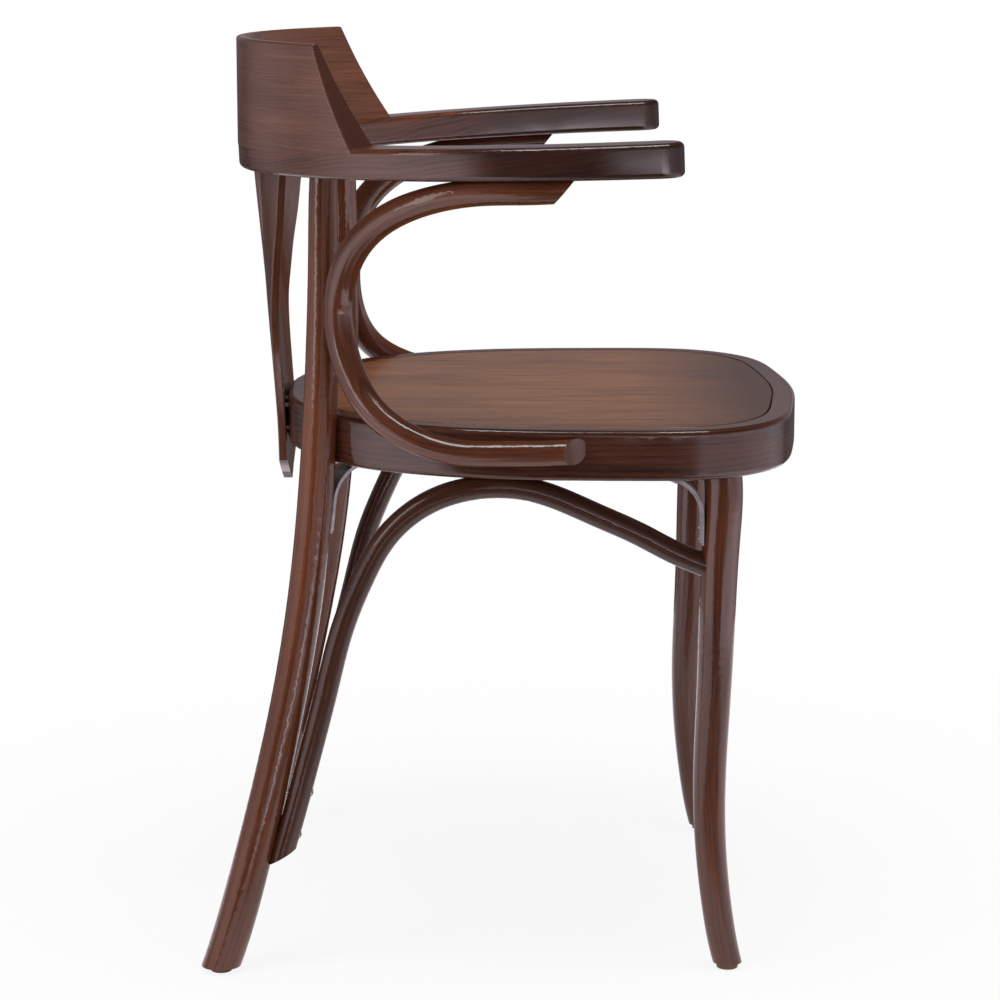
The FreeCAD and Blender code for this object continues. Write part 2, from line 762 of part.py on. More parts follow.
crest_blank = Part.Face(half_ellipse(0, crest_centre, crest_foot - size("bow_edge_radius") * 2))
crest_blank = crest_blank.extrude(Vector(0, 0, crest_rise + size("bow_edge_radius") * 2))
crest_low = crest_section(crest_foot - size("crest_edge_lift"))
crest_high = crest_section(size("crest_height") + size("crest_edge_lift"))
crest_core = Part.makeLoft([crest_low, crest_high], True, True)
crest_wedge = crest_blank.cut([crest_core, crest_end(1), crest_end(-1)])
crest_rounds = [edge for edge in crest_wedge.Edges if edge.BoundBox.ZMax > crest_foot + crest_rise / 4]
crest_wedge = crest_wedge.makeFillet(size("crest_edge_radius"), crest_rounds)
crest_solid = new_solid("crest_wedge", crest_wedge)
crest_floor = doc.addObject("Part::Box", "crest_floor")
crest_floor.setExpression("Length", "(Sizes.bow_half_width + Sizes.overrun) * 2")
crest_floor.setExpression("Width", "Sizes.bow_reach * 2")
crest_floor.setExpression("Height", "Sizes.bow_thickness")
crest_corner = Vector(
    -size("bow_half_width") - size("overrun"), -size("bow_reach"), -size("bow_edge_radius")
)
crest_floor.Placement = bow_body.Placement.multiply(Placement(crest_corner, Rotation()))

# Slats: three thin strips that start side by side on the ring's rear face, fan out
# and end in the bow. Each one is lofted through strips of an arc.
slat_foot = ring_bottom - size("slat_drop")
slat_top = bow_under_at(bow_centre + size("bow_reach")) + size("slat_tenon")
ring_rear = ring_widest + size("ring_rear_reach")


def slat_strip(rise, out, lean, curl, widening, place):
    """One flat section of a slat: place is 0 in the middle and 1 at the left."""
    radius = size("slat_high_curve") / curl
    rear = ring_rear + size("slat_thickness") - size("slat_seat_depth") + size("slat_lean") * lean
    height = slat_foot + (slat_top - slat_foot) * rise
    if place:
        outer = size("slat_width") * 1.5 + size("slat_gap") + size("slat_spread") * out
        inner = outer - size("slat_width") * widening
    else:
        outer = size("slat_width") / 2
        inner = -outer
    centre = Vector(0, rear - radius, height)

    def at(reach, along):
        angle = along / radius
        return centre + Vector(reach * math.sin(angle), reach * math.cos(angle), 0)

    thin = radius - size("slat_thickness")
    middle = (outer + inner) / 2
    soft = size("slat_edge_radius")
    bulge = soft * (1 - math.sqrt(0.5))
    corners = (
        ((radius, outer - soft), (radius - bulge, outer - bulge), (radius - soft, outer)),
        ((thin + soft, outer), (thin + bulge, outer - bulge), (thin, outer - soft)),
        ((thin, inner + soft), (thin + bulge, inner + bulge), (thin + soft, inner)),
        ((radius - soft, inner), (radius - bulge, inner + bulge), (radius, inner + soft)),
    )
    rounds = [Part.Arc(*[at(*point) for point in corner]).toShape() for corner in corners]
    edges = [
        Part.Arc(at(*corners[3][2]), at(radius, middle), at(*corners[0][0])).toShape(), rounds[0],
        Part.makeLine(at(*corners[0][2]), at(*corners[1][0])), rounds[1],
        Part.Arc(at(*corners[1][2]), at(thin, middle), at(*corners[2][0])).toShape(), rounds[2],
        Part.makeLine(at(*corners[2][2]), at(*corners[3][0])), rounds[3],
    ]
    return Part.Wire(edges)


point_half = size("slat_width") * 1.5 + size("slat_gap")
point_top = size("slat_point_rise") * 2
point_corners = [
    Vector(-point_half * 2, 0, -size("overrun")), Vector(point_half * 2, 0, -size("overrun")),
    Vector(point_half * 2, 0, point_top), Vector(0, 0, 0), Vector(-point_half * 2, 0, point_top),
]
point_cutter = Part.Face(Part.makePolygon(point_corners + point_corners[:1]))
point_cutter = point_cutter.extrude(Vector(0, ring_rear * 2, 0))
point_cutter.translate(Vector(0, 0, slat_foot + size("slat_point_floor")))
slat_course = Part.BSplineCurve()
slat_course.interpolate(Points=[Vector(rise, out, lean) for rise, out, lean, curl in SLAT_SHARES])
slat_curl = Part.BSplineCurve()
slat_curl.interpolate(Points=[Vector(rise, 0, curl) for rise, out, lean, curl in SLAT_SHARES])


def slat_shares_at(rise):
    """The slat's shares between the tabled rows, and how steeply it spreads there."""
    across = Part.Plane(Vector(rise, 0, 0), Vector(1, 0, 0))
    at = slat_course.intersect(across)[0][0]
    curled = slat_curl.intersect(across)[0][0]
    tangent = slat_course.tangent(slat_course.parameter(Vector(at.X, at.Y, at.Z)))[0]
    steep = tangent.y / tangent.x * size("slat_spread") / (slat_top - slat_foot)
    return at.Y, at.Z, curled.Z, steep


def mirrored(name, source):
    """The source's shape on the other side of the chair's middle plane."""
    other = doc.addObject("Part::Mirroring", name)
    other.Source = source
    other.Normal = Vector(1, 0, 0)
    return other


slat_blanks = {}
for name, place in (("left", 1), ("centre", 0)):
    strips = []
    for station in range(SLAT_STATIONS + 1):
        rise = station / SLAT_STATIONS
        out, lean, curl, steep = slat_shares_at(rise)
        strips.append(slat_strip(rise, out, lean, curl, math.sqrt(1 + steep * steep), place))
    strip = Part.makeLoft(strips, True, False)
    slat_blanks[name] = new_solid("slat_blank_" + name, strip.cut(point_cutter))
slat_blanks["right"] = mirrored("slat_blank_right", slat_blanks["left"])


# Foot glides, each held by a nail driven up into the leg.


def glide(name, centre):
    """A round glide under one foot."""
    body = new_body("glide_" + name)
    sketch = new_sketch(body, f"glide_{name}_round")
    add_circle(sketch, "glide_diameter")
    pad = body.newObject("PartDesign::Pad", f"glide_{name}_pad")
    pad.Profile = sketch
    pad.setExpression("Length", "Sizes.glide_height")
    doc.recompute()
    softened = body.newObject("PartDesign::Fillet", f"glide_{name}_edge")
    softened.Base = (pad, horizontal_edges(pad.Shape, 0.0))
    softened.setExpression("Radius", "Sizes.glide_edge_radius")
    body.Placement = Placement(Vector(centre.x, centre.y, 0), Rotation())
    return body


def pin(name, diameter, length, foot, outwards):
    """A straight round pin that starts at the foot and runs along the direction."""
    cylinder = doc.addObject("Part::Cylinder", name)
    cylinder.setExpression("Radius", f"Sizes.{diameter} / 2")
    cylinder.setExpression("Height", f"Sizes.{length}")
    cylinder.Placement = Placement(foot, Rotation(Vector(0, 0, 1), outwards))
    return cylinder


def screw(name, length, seat, outwards):
    """A slotted screw: the head's underside is at the seat and the shank runs inwards."""
    body = new_body(name)
    profile = new_sketch(body, name + "_profile", "XZ_Plane")
    head = size("screw_head_diameter") / 2
    rise = size("screw_head_height")
    shank = size("screw_diameter") / 2
    corners = [(head * out, rise * up) for out, up in SCREW_HEAD_SHARES]
    corners.append((shank, 0))
    corners += [(shank * out, shank * up - size(length)) for out, up in SCREW_TIP_SHARES]
    add_polygon(profile, corners)
    turned = body.newObject("PartDesign::Revolution", name + "_turned")
    turned.Profile = profile
    turned.ReferenceAxis = (profile, ["V_Axis"])
    slot_sketch = new_sketch(body, name + "_slot_outline")
    slot_sketch.setExpression("AttachmentOffset.Base.z", "Sizes.screw_head_height")
    half = size("slot_width") / 2
    past = size("screw_head_diameter")
    add_polygon(slot_sketch, ((-past, -half), (past, -half), (past, half), (-past, half)))
    slot = body.newObject("PartDesign::Pocket", name + "_slot")
    slot.Profile = slot_sketch
    slot.setExpression("Length", "Sizes.screw_head_height / 2")
    body.Placement = Placement(seat, Rotation(Vector(0, 0, 1), outwards))
    return body


def well(name, seat, outwards):
    """The round hole that takes a sunk screw head."""
    return pin(name, "screw_well_diameter", "screw_well_depth", seat, outwards)


glides = {}
nails = []
wells = []
foot_centres = {}
for name, side in SIDES:
    foot_centres["rear_" + name] = rear_leg_at(size("glide_height"), side)[0]
    foot_centres["front_" + name] = front_leg_at(size("glide_height"), side)[0]
for name, centre in foot_centres.items():
    glides[name] = glide(name, centre)
    nail_foot = Vector(centre.x, centre.y, size("nail_head_height") / 2)
    shank = pin("nail_shank_" + name, "nail_diameter", "nail_length", nail_foot, Vector(0, 0, 1))
    head = pin("nail_head_" + name, "nail_head_diameter", "nail_head_height", nail_foot, Vector(0, 0, 1))
    nail = doc.addObject("Part::Fuse", "nail_" + name)
    nail.Base = head
    nail.Tool = shank
    nails.append(nail)

# Screws that hold the arches at the foot and under the ring, and a dowel into the front leg.
foot_screws = []
crown_screws = []
arch_dowels = []
screw_sink = size("screw_sink")
for name, side in SIDES:
    path = arch_paths[name]
    for number in range(2):
        height = size("foot_screw_height") + size("foot_screw_pitch") * number
        guess, girth = rear_leg_at(height, side)
        centre = nearest_on(path, guess + Vector(0, -(girth + arch_radius), 0))
        seat = centre + Vector(0, screw_sink - arch_radius, 0)
        foot_screws.append(screw(f"foot_screw_{name}_{number}", "screw_length", seat, Vector(0, -1, 0)))
        wells.append(well(f"foot_well_{name}_{number}", seat, Vector(0, -1, 0)))
    for number, way in enumerate((-1, 1)):
        away = way * size("crown_screw_pitch") / 2
        guess = Vector(side * size("arch_crown_spread"), away, arch_crown_height)
        centre = nearest_on(path, guess)
        seat = centre + Vector(0, 0, size("crown_screw_sink") - arch_radius)
        crown_screws.append(screw(f"crown_screw_{name}_{number}", "screw_length", seat, Vector(0, 0, -1)))
        wells.append(well(f"crown_well_{name}_{number}", seat, Vector(0, 0, -1)))
    end = path.value(path.LastParameter)
    along = path.tangent(path.LastParameter)[0]
    foot = end - along * (size("arch_end_depth") + size("arch_dowel_length") / 2)
    arch_dowels.append(pin("arch_dowel_" + name, "arch_dowel_diameter", "arch_dowel_length", foot, along))

# Dowels between the loops and the arms.
loop_dowels = []
for name, side in SIDES:
    for number in range(2):
        place = loop_place + loop_setbacks[name] + size("loop_dowel_place") + size("loop_dowel_pitch") * number
        centre = nearest_on(loop_paths[name], Vector(side * loop_end_spread, place, loop_high))
        foot = Vector(centre.x, centre.y, bow_under_at(centre.y) - size("loop_dowel_length") / 2)
        label = f"loop_dowel_{name}_{number}"
        loop_dowels.append(pin(label, "loop_dowel_diameter", "loop_dowel_length", foot, Vector(0, 0, 1)))

# Two screws through each slat's foot into the ring.
slat_screws = []
for name, place in (("left", 1), ("centre", 0), ("right", -1)):
    for number, share in enumerate(SLAT_SCREW_SHARES):
        height = ring_bottom + size("ring_height") * share
        out, lean, curl, steep = slat_shares_at((height - slat_foot) / (slat_top - slat_foot))
        radius = size("slat_high_curve") / curl
        rear = ring_rear + size("slat_thickness") - size("slat_seat_depth") + size("slat_lean") * lean
        turned = place * (size("slat_width") + size("slat_gap")) / radius
        outwards = Vector(math.sin(turned), math.cos(turned), 0)
        reach = radius - size("screw_head_height")
        seat = Vector(0, rear - radius, height) + outwards * reach
        slat_screws.append(screw(f"slat_screw_{name}_{number}", "screw_length", seat, outwards))
        wells.append(well(f"slat_well_{name}_{number}", seat, outwards))

# Bolts from inside the ring out into the rear legs and the loops.


def ring_normal_at(point):
    """The nearest place on the ring's outline and its outward direction."""
    at = RING_CURVE.parameter(Vector(point.x, point.y, 0))
    tangent = RING_CURVE.tangent(at)[0]
    return RING_CURVE.value(at), Vector(-tangent.y, tangent.x, 0)


bolts = []
washers = []
washer_seats = []


def ring_bolt(name, target):
    """A bolt with a washer that grips the ring from inside and ends in the target piece."""
    edge, outwards = ring_normal_at(target)
    seat = Vector(edge.x, edge.y, target.z) - outwards * (size("ring_width") - size("washer_sink"))
    disc = pin("washer_disc_" + name, "washer_diameter", "washer_thickness", seat, -outwards)
    hole = pin("washer_hole_" + name, "washer_hole_diameter", "washer_thickness", seat, -outwards)
    washer = doc.addObject("Part::Cut", "washer_" + name)
    washer.Base = disc
    washer.Tool = hole
    washers.append(washer)
    washer_seats.append(disc)
    under_head = seat - outwards * size("washer_thickness")
    head = doc.addObject("Part::Prism", "bolt_head_" + name)
    head.Polygon = 6
    head.setExpression("Circumradius", "Sizes.bolt_head_diameter / 2")
    head.setExpression("Height", "Sizes.bolt_head_height")
    head.Placement = Placement(under_head, Rotation(Vector(0, 0, 1), -outwards))
    shank = pin("bolt_shank_" + name, "bolt_diameter", "bolt_length", under_head, outwards)
    bolt = doc.addObject("Part::Fuse", "bolt_" + name)
    bolt.Base = head
    bolt.Tool = shank
    bolts.append(bolt)


bolt_height = ring_bottom + size("ring_height") / 2
for name, side in SIDES:
    ring_bolt("leg_" + name, rear_leg_at(bolt_height, side)[0])
    for number in range(2):
        place = loop_low_setbacks[name] + size("loop_bolt_place") + size("loop_bolt_pitch") * number
        ring_bolt(f"loop_{name}_{number}", Vector(side * loop_end_spread, place, bolt_height))

# Dowels between the bow and the crest.
dowels = []
for share in CREST_DOWEL_SHARES:
    spread = size("dowel_spread") * share
    place = bow_place_at(spread, size("dowel_inset"))
    foot = Vector(spread, place, bow_top_at(place) - size("dowel_length") / 2)
    dowels.append(pin(f"dowel_{len(dowels)}", "dowel_diameter", "dowel_length", foot, Vector(0, 0, 1)))

# Corner brackets: one bent strip with two pressed ribs, used four times.


def bracket_corners(thick, drop, run, lean):
    """The bracket's side view: one flange lies under the ring, the other on the leg."""
    down = Vector(-math.sin(lean), -math.cos(lean), 0)
    inwards = Vector(math.cos(lean), -math.sin(lean), 0)
    elbow = inwards * thick + down * (thick * (1 - math.sin(lean)) / math.cos(lean))
    corners = (
        Vector(0, 0, 0), Vector(run, 0, 0), Vector(run, -thick, 0),
        elbow, down * drop + inwards * thick, down * drop,
    )
    return [(corner.x, corner.y) for corner in corners]


def bracket_pad(body, name, thick, setback, left_edge, width, lean):
    """A strip of the bracket's side view, padded across its width."""
    sketch = new_sketch(body, name + "_side", "YZ_Plane")
    sketch.setExpression("AttachmentOffset.Base.z", left_edge)
    drop = size("bracket_drop") - setback
    run = size("bracket_run") - setback
    add_polygon(sketch, bracket_corners(thick, drop, run, lean))
    pad = body.newObject("PartDesign::Pad", name + "_strip")
    pad.Profile = sketch
    pad.setExpression("Length", width)
    doc.recompute()
    return pad


def elbow_edges(shape, lean, thick):
    """The outer and the inner elbow edges of the strips that make the bracket."""
    down = Vector(0, -math.sin(lean), -math.cos(lean))
    inwards = Vector(0, math.cos(lean), -math.sin(lean))
    elbow = inwards * thick + down * (thick * (1 - math.sin(lean)) / math.cos(lean))
    found = []
    for index, edge in enumerate(shape.Edges, start=1):
        middle = edge.CenterOfMass
        flat = Vector(0, middle.y, middle.z)
        along_width = edge.BoundBox.XLength > size("bracket_rib_width") / 2
        if along_width and (flat - elbow).Length < size("bracket_gauge") / 4:
            found.append(f"Edge{index}")
    return found


def bracket(name, corner, run_direction, lean):
    """A steel corner bracket whose elbow points to the corner under the ring."""
    gauge = size("bracket_gauge")
    ribbed = gauge + size("bracket_rib_height")
    bend = "Sizes.bracket_bend_radius"
    inner_bend = bend + " - Sizes.bracket_gauge"
    rib_bend = inner_bend + " - Sizes.bracket_rib_height"
    near_edge = "-Sizes.bracket_width / 2"
    near_rib = near_edge + " + Sizes.bracket_rib_inset"
    far_rib = "Sizes.bracket_width / 2 - Sizes.bracket_rib_inset - Sizes.bracket_rib_width"
    strips = (
        ("main", gauge, inner_bend, 0, near_edge, "Sizes.bracket_width"),
        ("rib_a", ribbed, rib_bend, gauge, near_rib, "Sizes.bracket_rib_width"),
        ("rib_b", ribbed, rib_bend, gauge, far_rib, "Sizes.bracket_rib_width"),
    )
    solids = []
    for label, thick, inside, setback, left_edge, width in strips:
        strip_body = new_body(f"bracket_{name}_{label}")
        pad = bracket_pad(strip_body, f"bracket_{name}_{label}", thick, setback, left_edge, width, lean)
        outer = strip_body.newObject("PartDesign::Fillet", f"bracket_{name}_{label}_outer_bend")
        outer.Base = (pad, elbow_edges(pad.Shape, lean, 0))
        outer.setExpression("Radius", bend)
        doc.recompute()
        inner = strip_body.newObject("PartDesign::Fillet", f"bracket_{name}_{label}_inner_bend")
        inner.Base = (outer, elbow_edges(outer.Shape, lean, thick))
        inner.setExpression("Radius", inside)
        doc.recompute()
        solids.append(strip_body)
    merged = doc.addObject("Part::MultiFuse", "bracket_blank_" + name)
    merged.Shapes = solids
    merged.Placement = Placement(corner, Rotation(Vector(0, 1, 0), run_direction))
    return merged


bracket_blanks = {}
bracket_screws = []
bracket_bite = size("bracket_bite")
for name, side in SIDES:
    front_top, front_girth = front_leg_at(ring_bottom, side)
    rear_top_at_ring, rear_girth = rear_leg_at(ring_bottom, side)
    rear_low = rear_leg_at(ring_bottom - size("bracket_drop"), side)[0]
    inwards = -ring_normal_at(rear_top_at_ring)[1]
    lean = math.atan2((rear_top_at_ring - rear_low).dot(inwards), size("bracket_drop"))
    corners = {
        "front_" + name: (front_top + Vector(0, front_girth / 2 - bracket_bite, 0), Vector(0, 1, 0), 0.0),
        "rear_" + name: (rear_top_at_ring + inwards * (rear_girth / 2 - bracket_bite), inwards, lean),
    }
    for label, (corner, run_direction, lean) in corners.items():
        bracket_blanks[label] = bracket(label, corner, run_direction, lean)
        down = run_direction * -math.sin(lean) + Vector(0, 0, -math.cos(lean))
        face = run_direction * math.cos(lean) + Vector(0, 0, -math.sin(lean))
        gauge = size("bracket_gauge")
        setback = size("bracket_screw_setback")
        under_ring = corner + run_direction * (size("bracket_run") - setback)
        on_leg = corner + down * (size("bracket_drop") - setback) + face * gauge
        seats = (
            (under_ring + Vector(0, 0, -gauge), Vector(0, 0, -1)),
            (on_leg, face),
            (on_leg - down * size("bracket_screw_pitch"), face),
        )
        for number, (seat, outwards) in enumerate(seats):
            screw_name = f"bracket_screw_{label}_{number}"
            bracket_screws.append(screw(screw_name, "short_screw_length", seat, outwards))
doc.recompute()

# Every piece is now cut by the pieces that pass through it or bear on it.
for label, blank in bracket_blanks.items():
    name_piece(cut_away("bracket_" + label, blank, bracket_screws), "bracket_" + label)

ring_tools = [legs["front_left"], legs["front_right"], *bolts]
ring_tools += crown_screws + slat_screws + bracket_screws
name_piece(cut_away("seat_ring", ring_body, ring_tools, washer_seats), "seat_ring")

slat_cuts = {}
for name in ("left", "centre"):
    slat_cuts[name] = cut_away("slat_" + name, slat_blanks[name], [ring_body, *slat_screws, *wells])
slat_cuts["right"] = mirrored("slat_cut_right", slat_cuts["left"])
for name, slat_cut in slat_cuts.items():
    name_piece(slat_cut, "back_slat_" + name)

bow_tools = [legs["rear_left"], legs["rear_right"], *slat_blanks.values(), *dowels, *loop_dowels]
name_piece(cut_away("bow", bow_body, bow_tools), "arm_bow")
name_piece(cut_away("crest", crest_solid, [crest_floor, bow_body, *dowels]), "crest_block")

for name, side in SIDES:
    rear_tools = [ring_body, *bolts, *foot_screws, *bracket_blanks.values(), *bracket_screws, *nails]
    name_piece(cut_away("rear_" + name, legs["rear_" + name], rear_tools), "rear_leg_" + name)
    front_tools = [*bracket_blanks.values(), *bracket_screws, *arch_dowels, *nails]
    name_piece(cut_away("front_" + name, legs["front_" + name], front_tools), "front_leg_" + name)

    path = arch_paths[name]
    foot_angle = math.radians(size("arch_foot_angle"))
    foot_face = half_space(
        "arch_foot_face_" + name,
        path.value(path.FirstParameter) + Vector(0, 0, size("arch_foot_trim")),
        Vector(0, -math.sin(foot_angle), -math.cos(foot_angle)),
    )
    arch_cut = cut_away(
        "arch_" + name, arch_rods[name], [foot_face], [ring_body],
        [legs["rear_" + name], legs["front_" + name]], wells, foot_screws + crown_screws + arch_dowels,
    )
    name_piece(arch_cut, "side_arch_" + name)

    low_angle = math.radians(size("loop_low_angle"))
    low_face = half_space(
        "loop_low_face_" + name,
        Vector(side * loop_end_spread, loop_place + loop_low_setbacks[name], loop_low),
        Vector(side * math.cos(low_angle), -math.sin(low_angle), 0),
    )
    high_angle = math.radians(size("loop_high_angle"))
    high_place = loop_place + loop_setbacks[name] + size("loop_high_setback")
    high_face = half_space(
        "loop_high_face_" + name,
        Vector(side * loop_end_spread, high_place, loop_high),
        Vector(0, -math.cos(high_angle), -math.sin(high_angle)),
    )
    loop_tools = [low_face, high_face, ring_body, bow_body, *bolts, *loop_dowels]
    name_piece(cut_away("loop_" + name, loop_rods[name], loop_tools), "arm_loop_" + name)

for name, body in glides.items():
    name_piece(cut_away("foot_" + name, body, nails), "foot_glide_" + name)

joined("glide_nails", nails)
joined("arch_foot_screws", foot_screws)
joined("arch_crown_screws", crown_screws)
joined("arch_dowels", arch_dowels)
joined("loop_dowels", loop_dowels)
joined("slat_screws", slat_screws)
joined("bracket_screws", bracket_screws)
joined("ring_bolts", bolts)
joined("ring_washers", washers)
joined("crest_dowels", dowels)
doc.recompute()

for item in doc.Objects:
    if "Invalid" in item.State or "Error" in item.State:
        raise RuntimeError(f"{item.Label} was not built")
os.makedirs("parts", exist_ok=True)
for label, item in pieces.items():
    if item.Shape.isNull() or not item.Shape.isValid():
        raise RuntimeError(f"{label} has no valid shape")
    item.Shape.exportStep(f"parts/{label}.step")
    box = item.Shape.BoundBox
    print(
        f"{label}: {len(item.Shape.Solids)} solids, {item.Shape.Volume / 1000:.1f} ml, "
        f"{box.XLength:.0f} x {box.YLength:.0f} x {box.ZLength:.0f}"
    )
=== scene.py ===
"""Bentwood armchair in walnut-stained, lacquered beech.

The file follows the chair as it is put together: seat ring, panel, legs, braces,
brackets, arm bow, arm loops, crest, slats, fasteners, glides, and last the studio.
"""
import math

import bmesh
import bpy
import numpy as np
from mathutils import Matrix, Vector


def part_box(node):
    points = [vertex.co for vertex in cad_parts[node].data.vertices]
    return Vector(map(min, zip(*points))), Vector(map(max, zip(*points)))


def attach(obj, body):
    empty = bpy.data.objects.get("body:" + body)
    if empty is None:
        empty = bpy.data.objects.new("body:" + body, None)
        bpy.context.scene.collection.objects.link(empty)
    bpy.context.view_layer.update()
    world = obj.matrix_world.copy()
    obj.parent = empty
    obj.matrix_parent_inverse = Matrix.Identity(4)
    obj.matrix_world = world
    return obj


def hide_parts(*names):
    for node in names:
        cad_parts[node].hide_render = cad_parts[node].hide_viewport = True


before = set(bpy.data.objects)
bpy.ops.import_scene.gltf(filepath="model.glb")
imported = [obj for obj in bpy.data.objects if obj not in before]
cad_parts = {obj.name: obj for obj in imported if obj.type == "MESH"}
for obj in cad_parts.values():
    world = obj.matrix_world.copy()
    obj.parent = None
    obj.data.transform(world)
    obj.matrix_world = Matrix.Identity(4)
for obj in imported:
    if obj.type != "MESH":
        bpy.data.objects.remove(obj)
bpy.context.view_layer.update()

# Seat ring: one length of beech, steamed and bent into a closed frame with rounded
# corners, then rebated for the panel. The fibres run round the ring. It is stained
# dark walnut and lacquered, like every other wooden piece of the chair.


def points_of(mesh):
    """The mesh's corner points as an (n, 3) array."""
    flat = np.empty(len(mesh.vertices) * 3)
    mesh.vertices.foreach_get("co", flat)
    return flat.reshape(-1, 3)


def finished_wood(node, material, grain_at):
    """A merged and smooth-shaded copy of a CAD node that carries its own grain.

    grain_at turns the corner points into two arrays: the place in the piece of wood
    (along, across and through the fibres, in metres) and the way the fibres run."""
    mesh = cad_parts[node].data.copy()
    mesh.name = node + "_wood"
    shell = bmesh.new()
    shell.from_mesh(mesh)
    merge_distance = 0.00001
    bmesh.ops.remove_doubles(shell, verts=shell.verts, dist=merge_distance)
    shell.to_mesh(mesh)
    shell.free()
    old_normals = mesh.attributes.get("custom_normal")
    if old_normals:
        mesh.attributes.remove(old_normals)
    place, way = grain_at(points_of(mesh))
    for name, values in (("grain_place", place), ("grain_way", way)):
        attribute = mesh.attributes.new(name, "FLOAT_VECTOR", "POINT")
        attribute.data.foreach_set("vector", values.astype(np.float32).ravel())
    mesh.shade_smooth()
    sharp_from = math.radians(32)
    mesh.set_sharp_from_angle(angle=sharp_from)
    mesh.materials.clear()
    mesh.materials.append(material)
    piece = bpy.data.objects.new(node + "_wood", mesh)
    bpy.context.scene.collection.objects.link(piece)
    piece.modifiers.new("even_normals", "WEIGHTED_NORMAL").keep_sharp = True
    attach(piece, "root")
    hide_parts(node)


def closed_ring_grain(points):
    """Along: the angle round the ring times its mean radius, measured both ways from
    the front so that the halves meet at the rear, and leaned to one side so that they
    aren't alike. Across: the distance inwards from the outline, which is the farthest
    point at each angle. Through: the height."""
    middle = (points[:, 1].min() + points[:, 1].max()) / 2
    angle = np.arctan2(points[:, 0], middle - points[:, 1])
    reach = np.hypot(points[:, 0], points[:, 1] - middle)
    stations = np.radians(np.arange(-180.0, 181.0, 2.0))
    nearest = np.rint((angle + math.pi) / (stations[1] - stations[0])).astype(int)
    outline = np.zeros(len(stations))
    np.maximum.at(outline, nearest, reach)
    known = outline > outline.max() / 2
    outline = np.interp(stations, stations[known], outline[known])
    outer = np.interp(angle, stations, outline)
    slope = np.interp(angle, stations, np.gradient(outline, stations))
    lean = 0.4
    along = np.abs(angle) * outline.mean() + lean * points[:, 0]
    way = np.stack([
        slope * np.sin(angle) + outer * np.cos(angle),
        outer * np.sin(angle) - slope * np.cos(angle),
        np.zeros(len(points)),
    ], axis=1)
    way /= np.linalg.norm(way, axis=1, keepdims=True)
    return np.stack([along, outer - reach, points[:, 2]], axis=1), way


def adder(tree):
    """A function that adds a node, sets its properties, and links or sets its inputs."""
    def add(kind, feeds=None, **properties):
        node = tree.nodes.new("ShaderNode" + kind)
        for key, value in properties.items():
            setattr(node, key, value)
        for key, value in (feeds or {}).items():
            if isinstance(value, bpy.types.NodeSocket):
                tree.links.new(value, node.inputs[key])
            else:
                node.inputs[key].default_value = value
        return node
    return add


def new_group(name, inputs, outputs):
    """An empty shader group with named inputs and outputs."""
    group = bpy.data.node_groups.new(name, "ShaderNodeTree")
    for label, kind, value in inputs:
        socket = group.interface.new_socket(label, in_out="INPUT", socket_type="NodeSocket" + kind)
        socket.default_value = value
    for label, kind in outputs:
        group.interface.new_socket(label, in_out="OUTPUT", socket_type="NodeSocket" + kind)
    return group


def stretched_noise(add, place, stretch, detail, roughness=0.55):
    """Noise whose cells are drawn out: stretch gives cells per metre along each way."""
    scaled = add("VectorMath", {0: place, 1: stretch}, operation="MULTIPLY")
    feeds = {"Vector": scaled.outputs[0], "Scale": 1.0, "Detail": detail, "Roughness": roughness}
    return add("TexNoise", feeds).outputs["Fac"]


def ramp(add, value, low, high, start=0.0, end=1.0):
    """The value, spread from low..high to start..end and held there."""
    feeds = {"Value": value, "From Min": low, "From Max": high, "To Min": start, "To Max": end}
    return add("MapRange", feeds, clamp=True).outputs["Result"]


def blended(add, share, first, second):
    """Two colours mixed by a share. The Mix node has a set of sockets for each kind of
    value; its colours go in at 6 and 7 and come out at 2."""
    return add("Mix", {0: share, 6: first, 7: second}, data_type="RGBA").outputs[2]


def math_of(add, operation, first, second=0.0):
    """One step of arithmetic on one or two values."""
    return add("Math", {0: first, 1: second}, operation=operation).outputs[0]


def times(add, first, second):
    """The product of two values."""
    return math_of(add, "MULTIPLY", first, second)


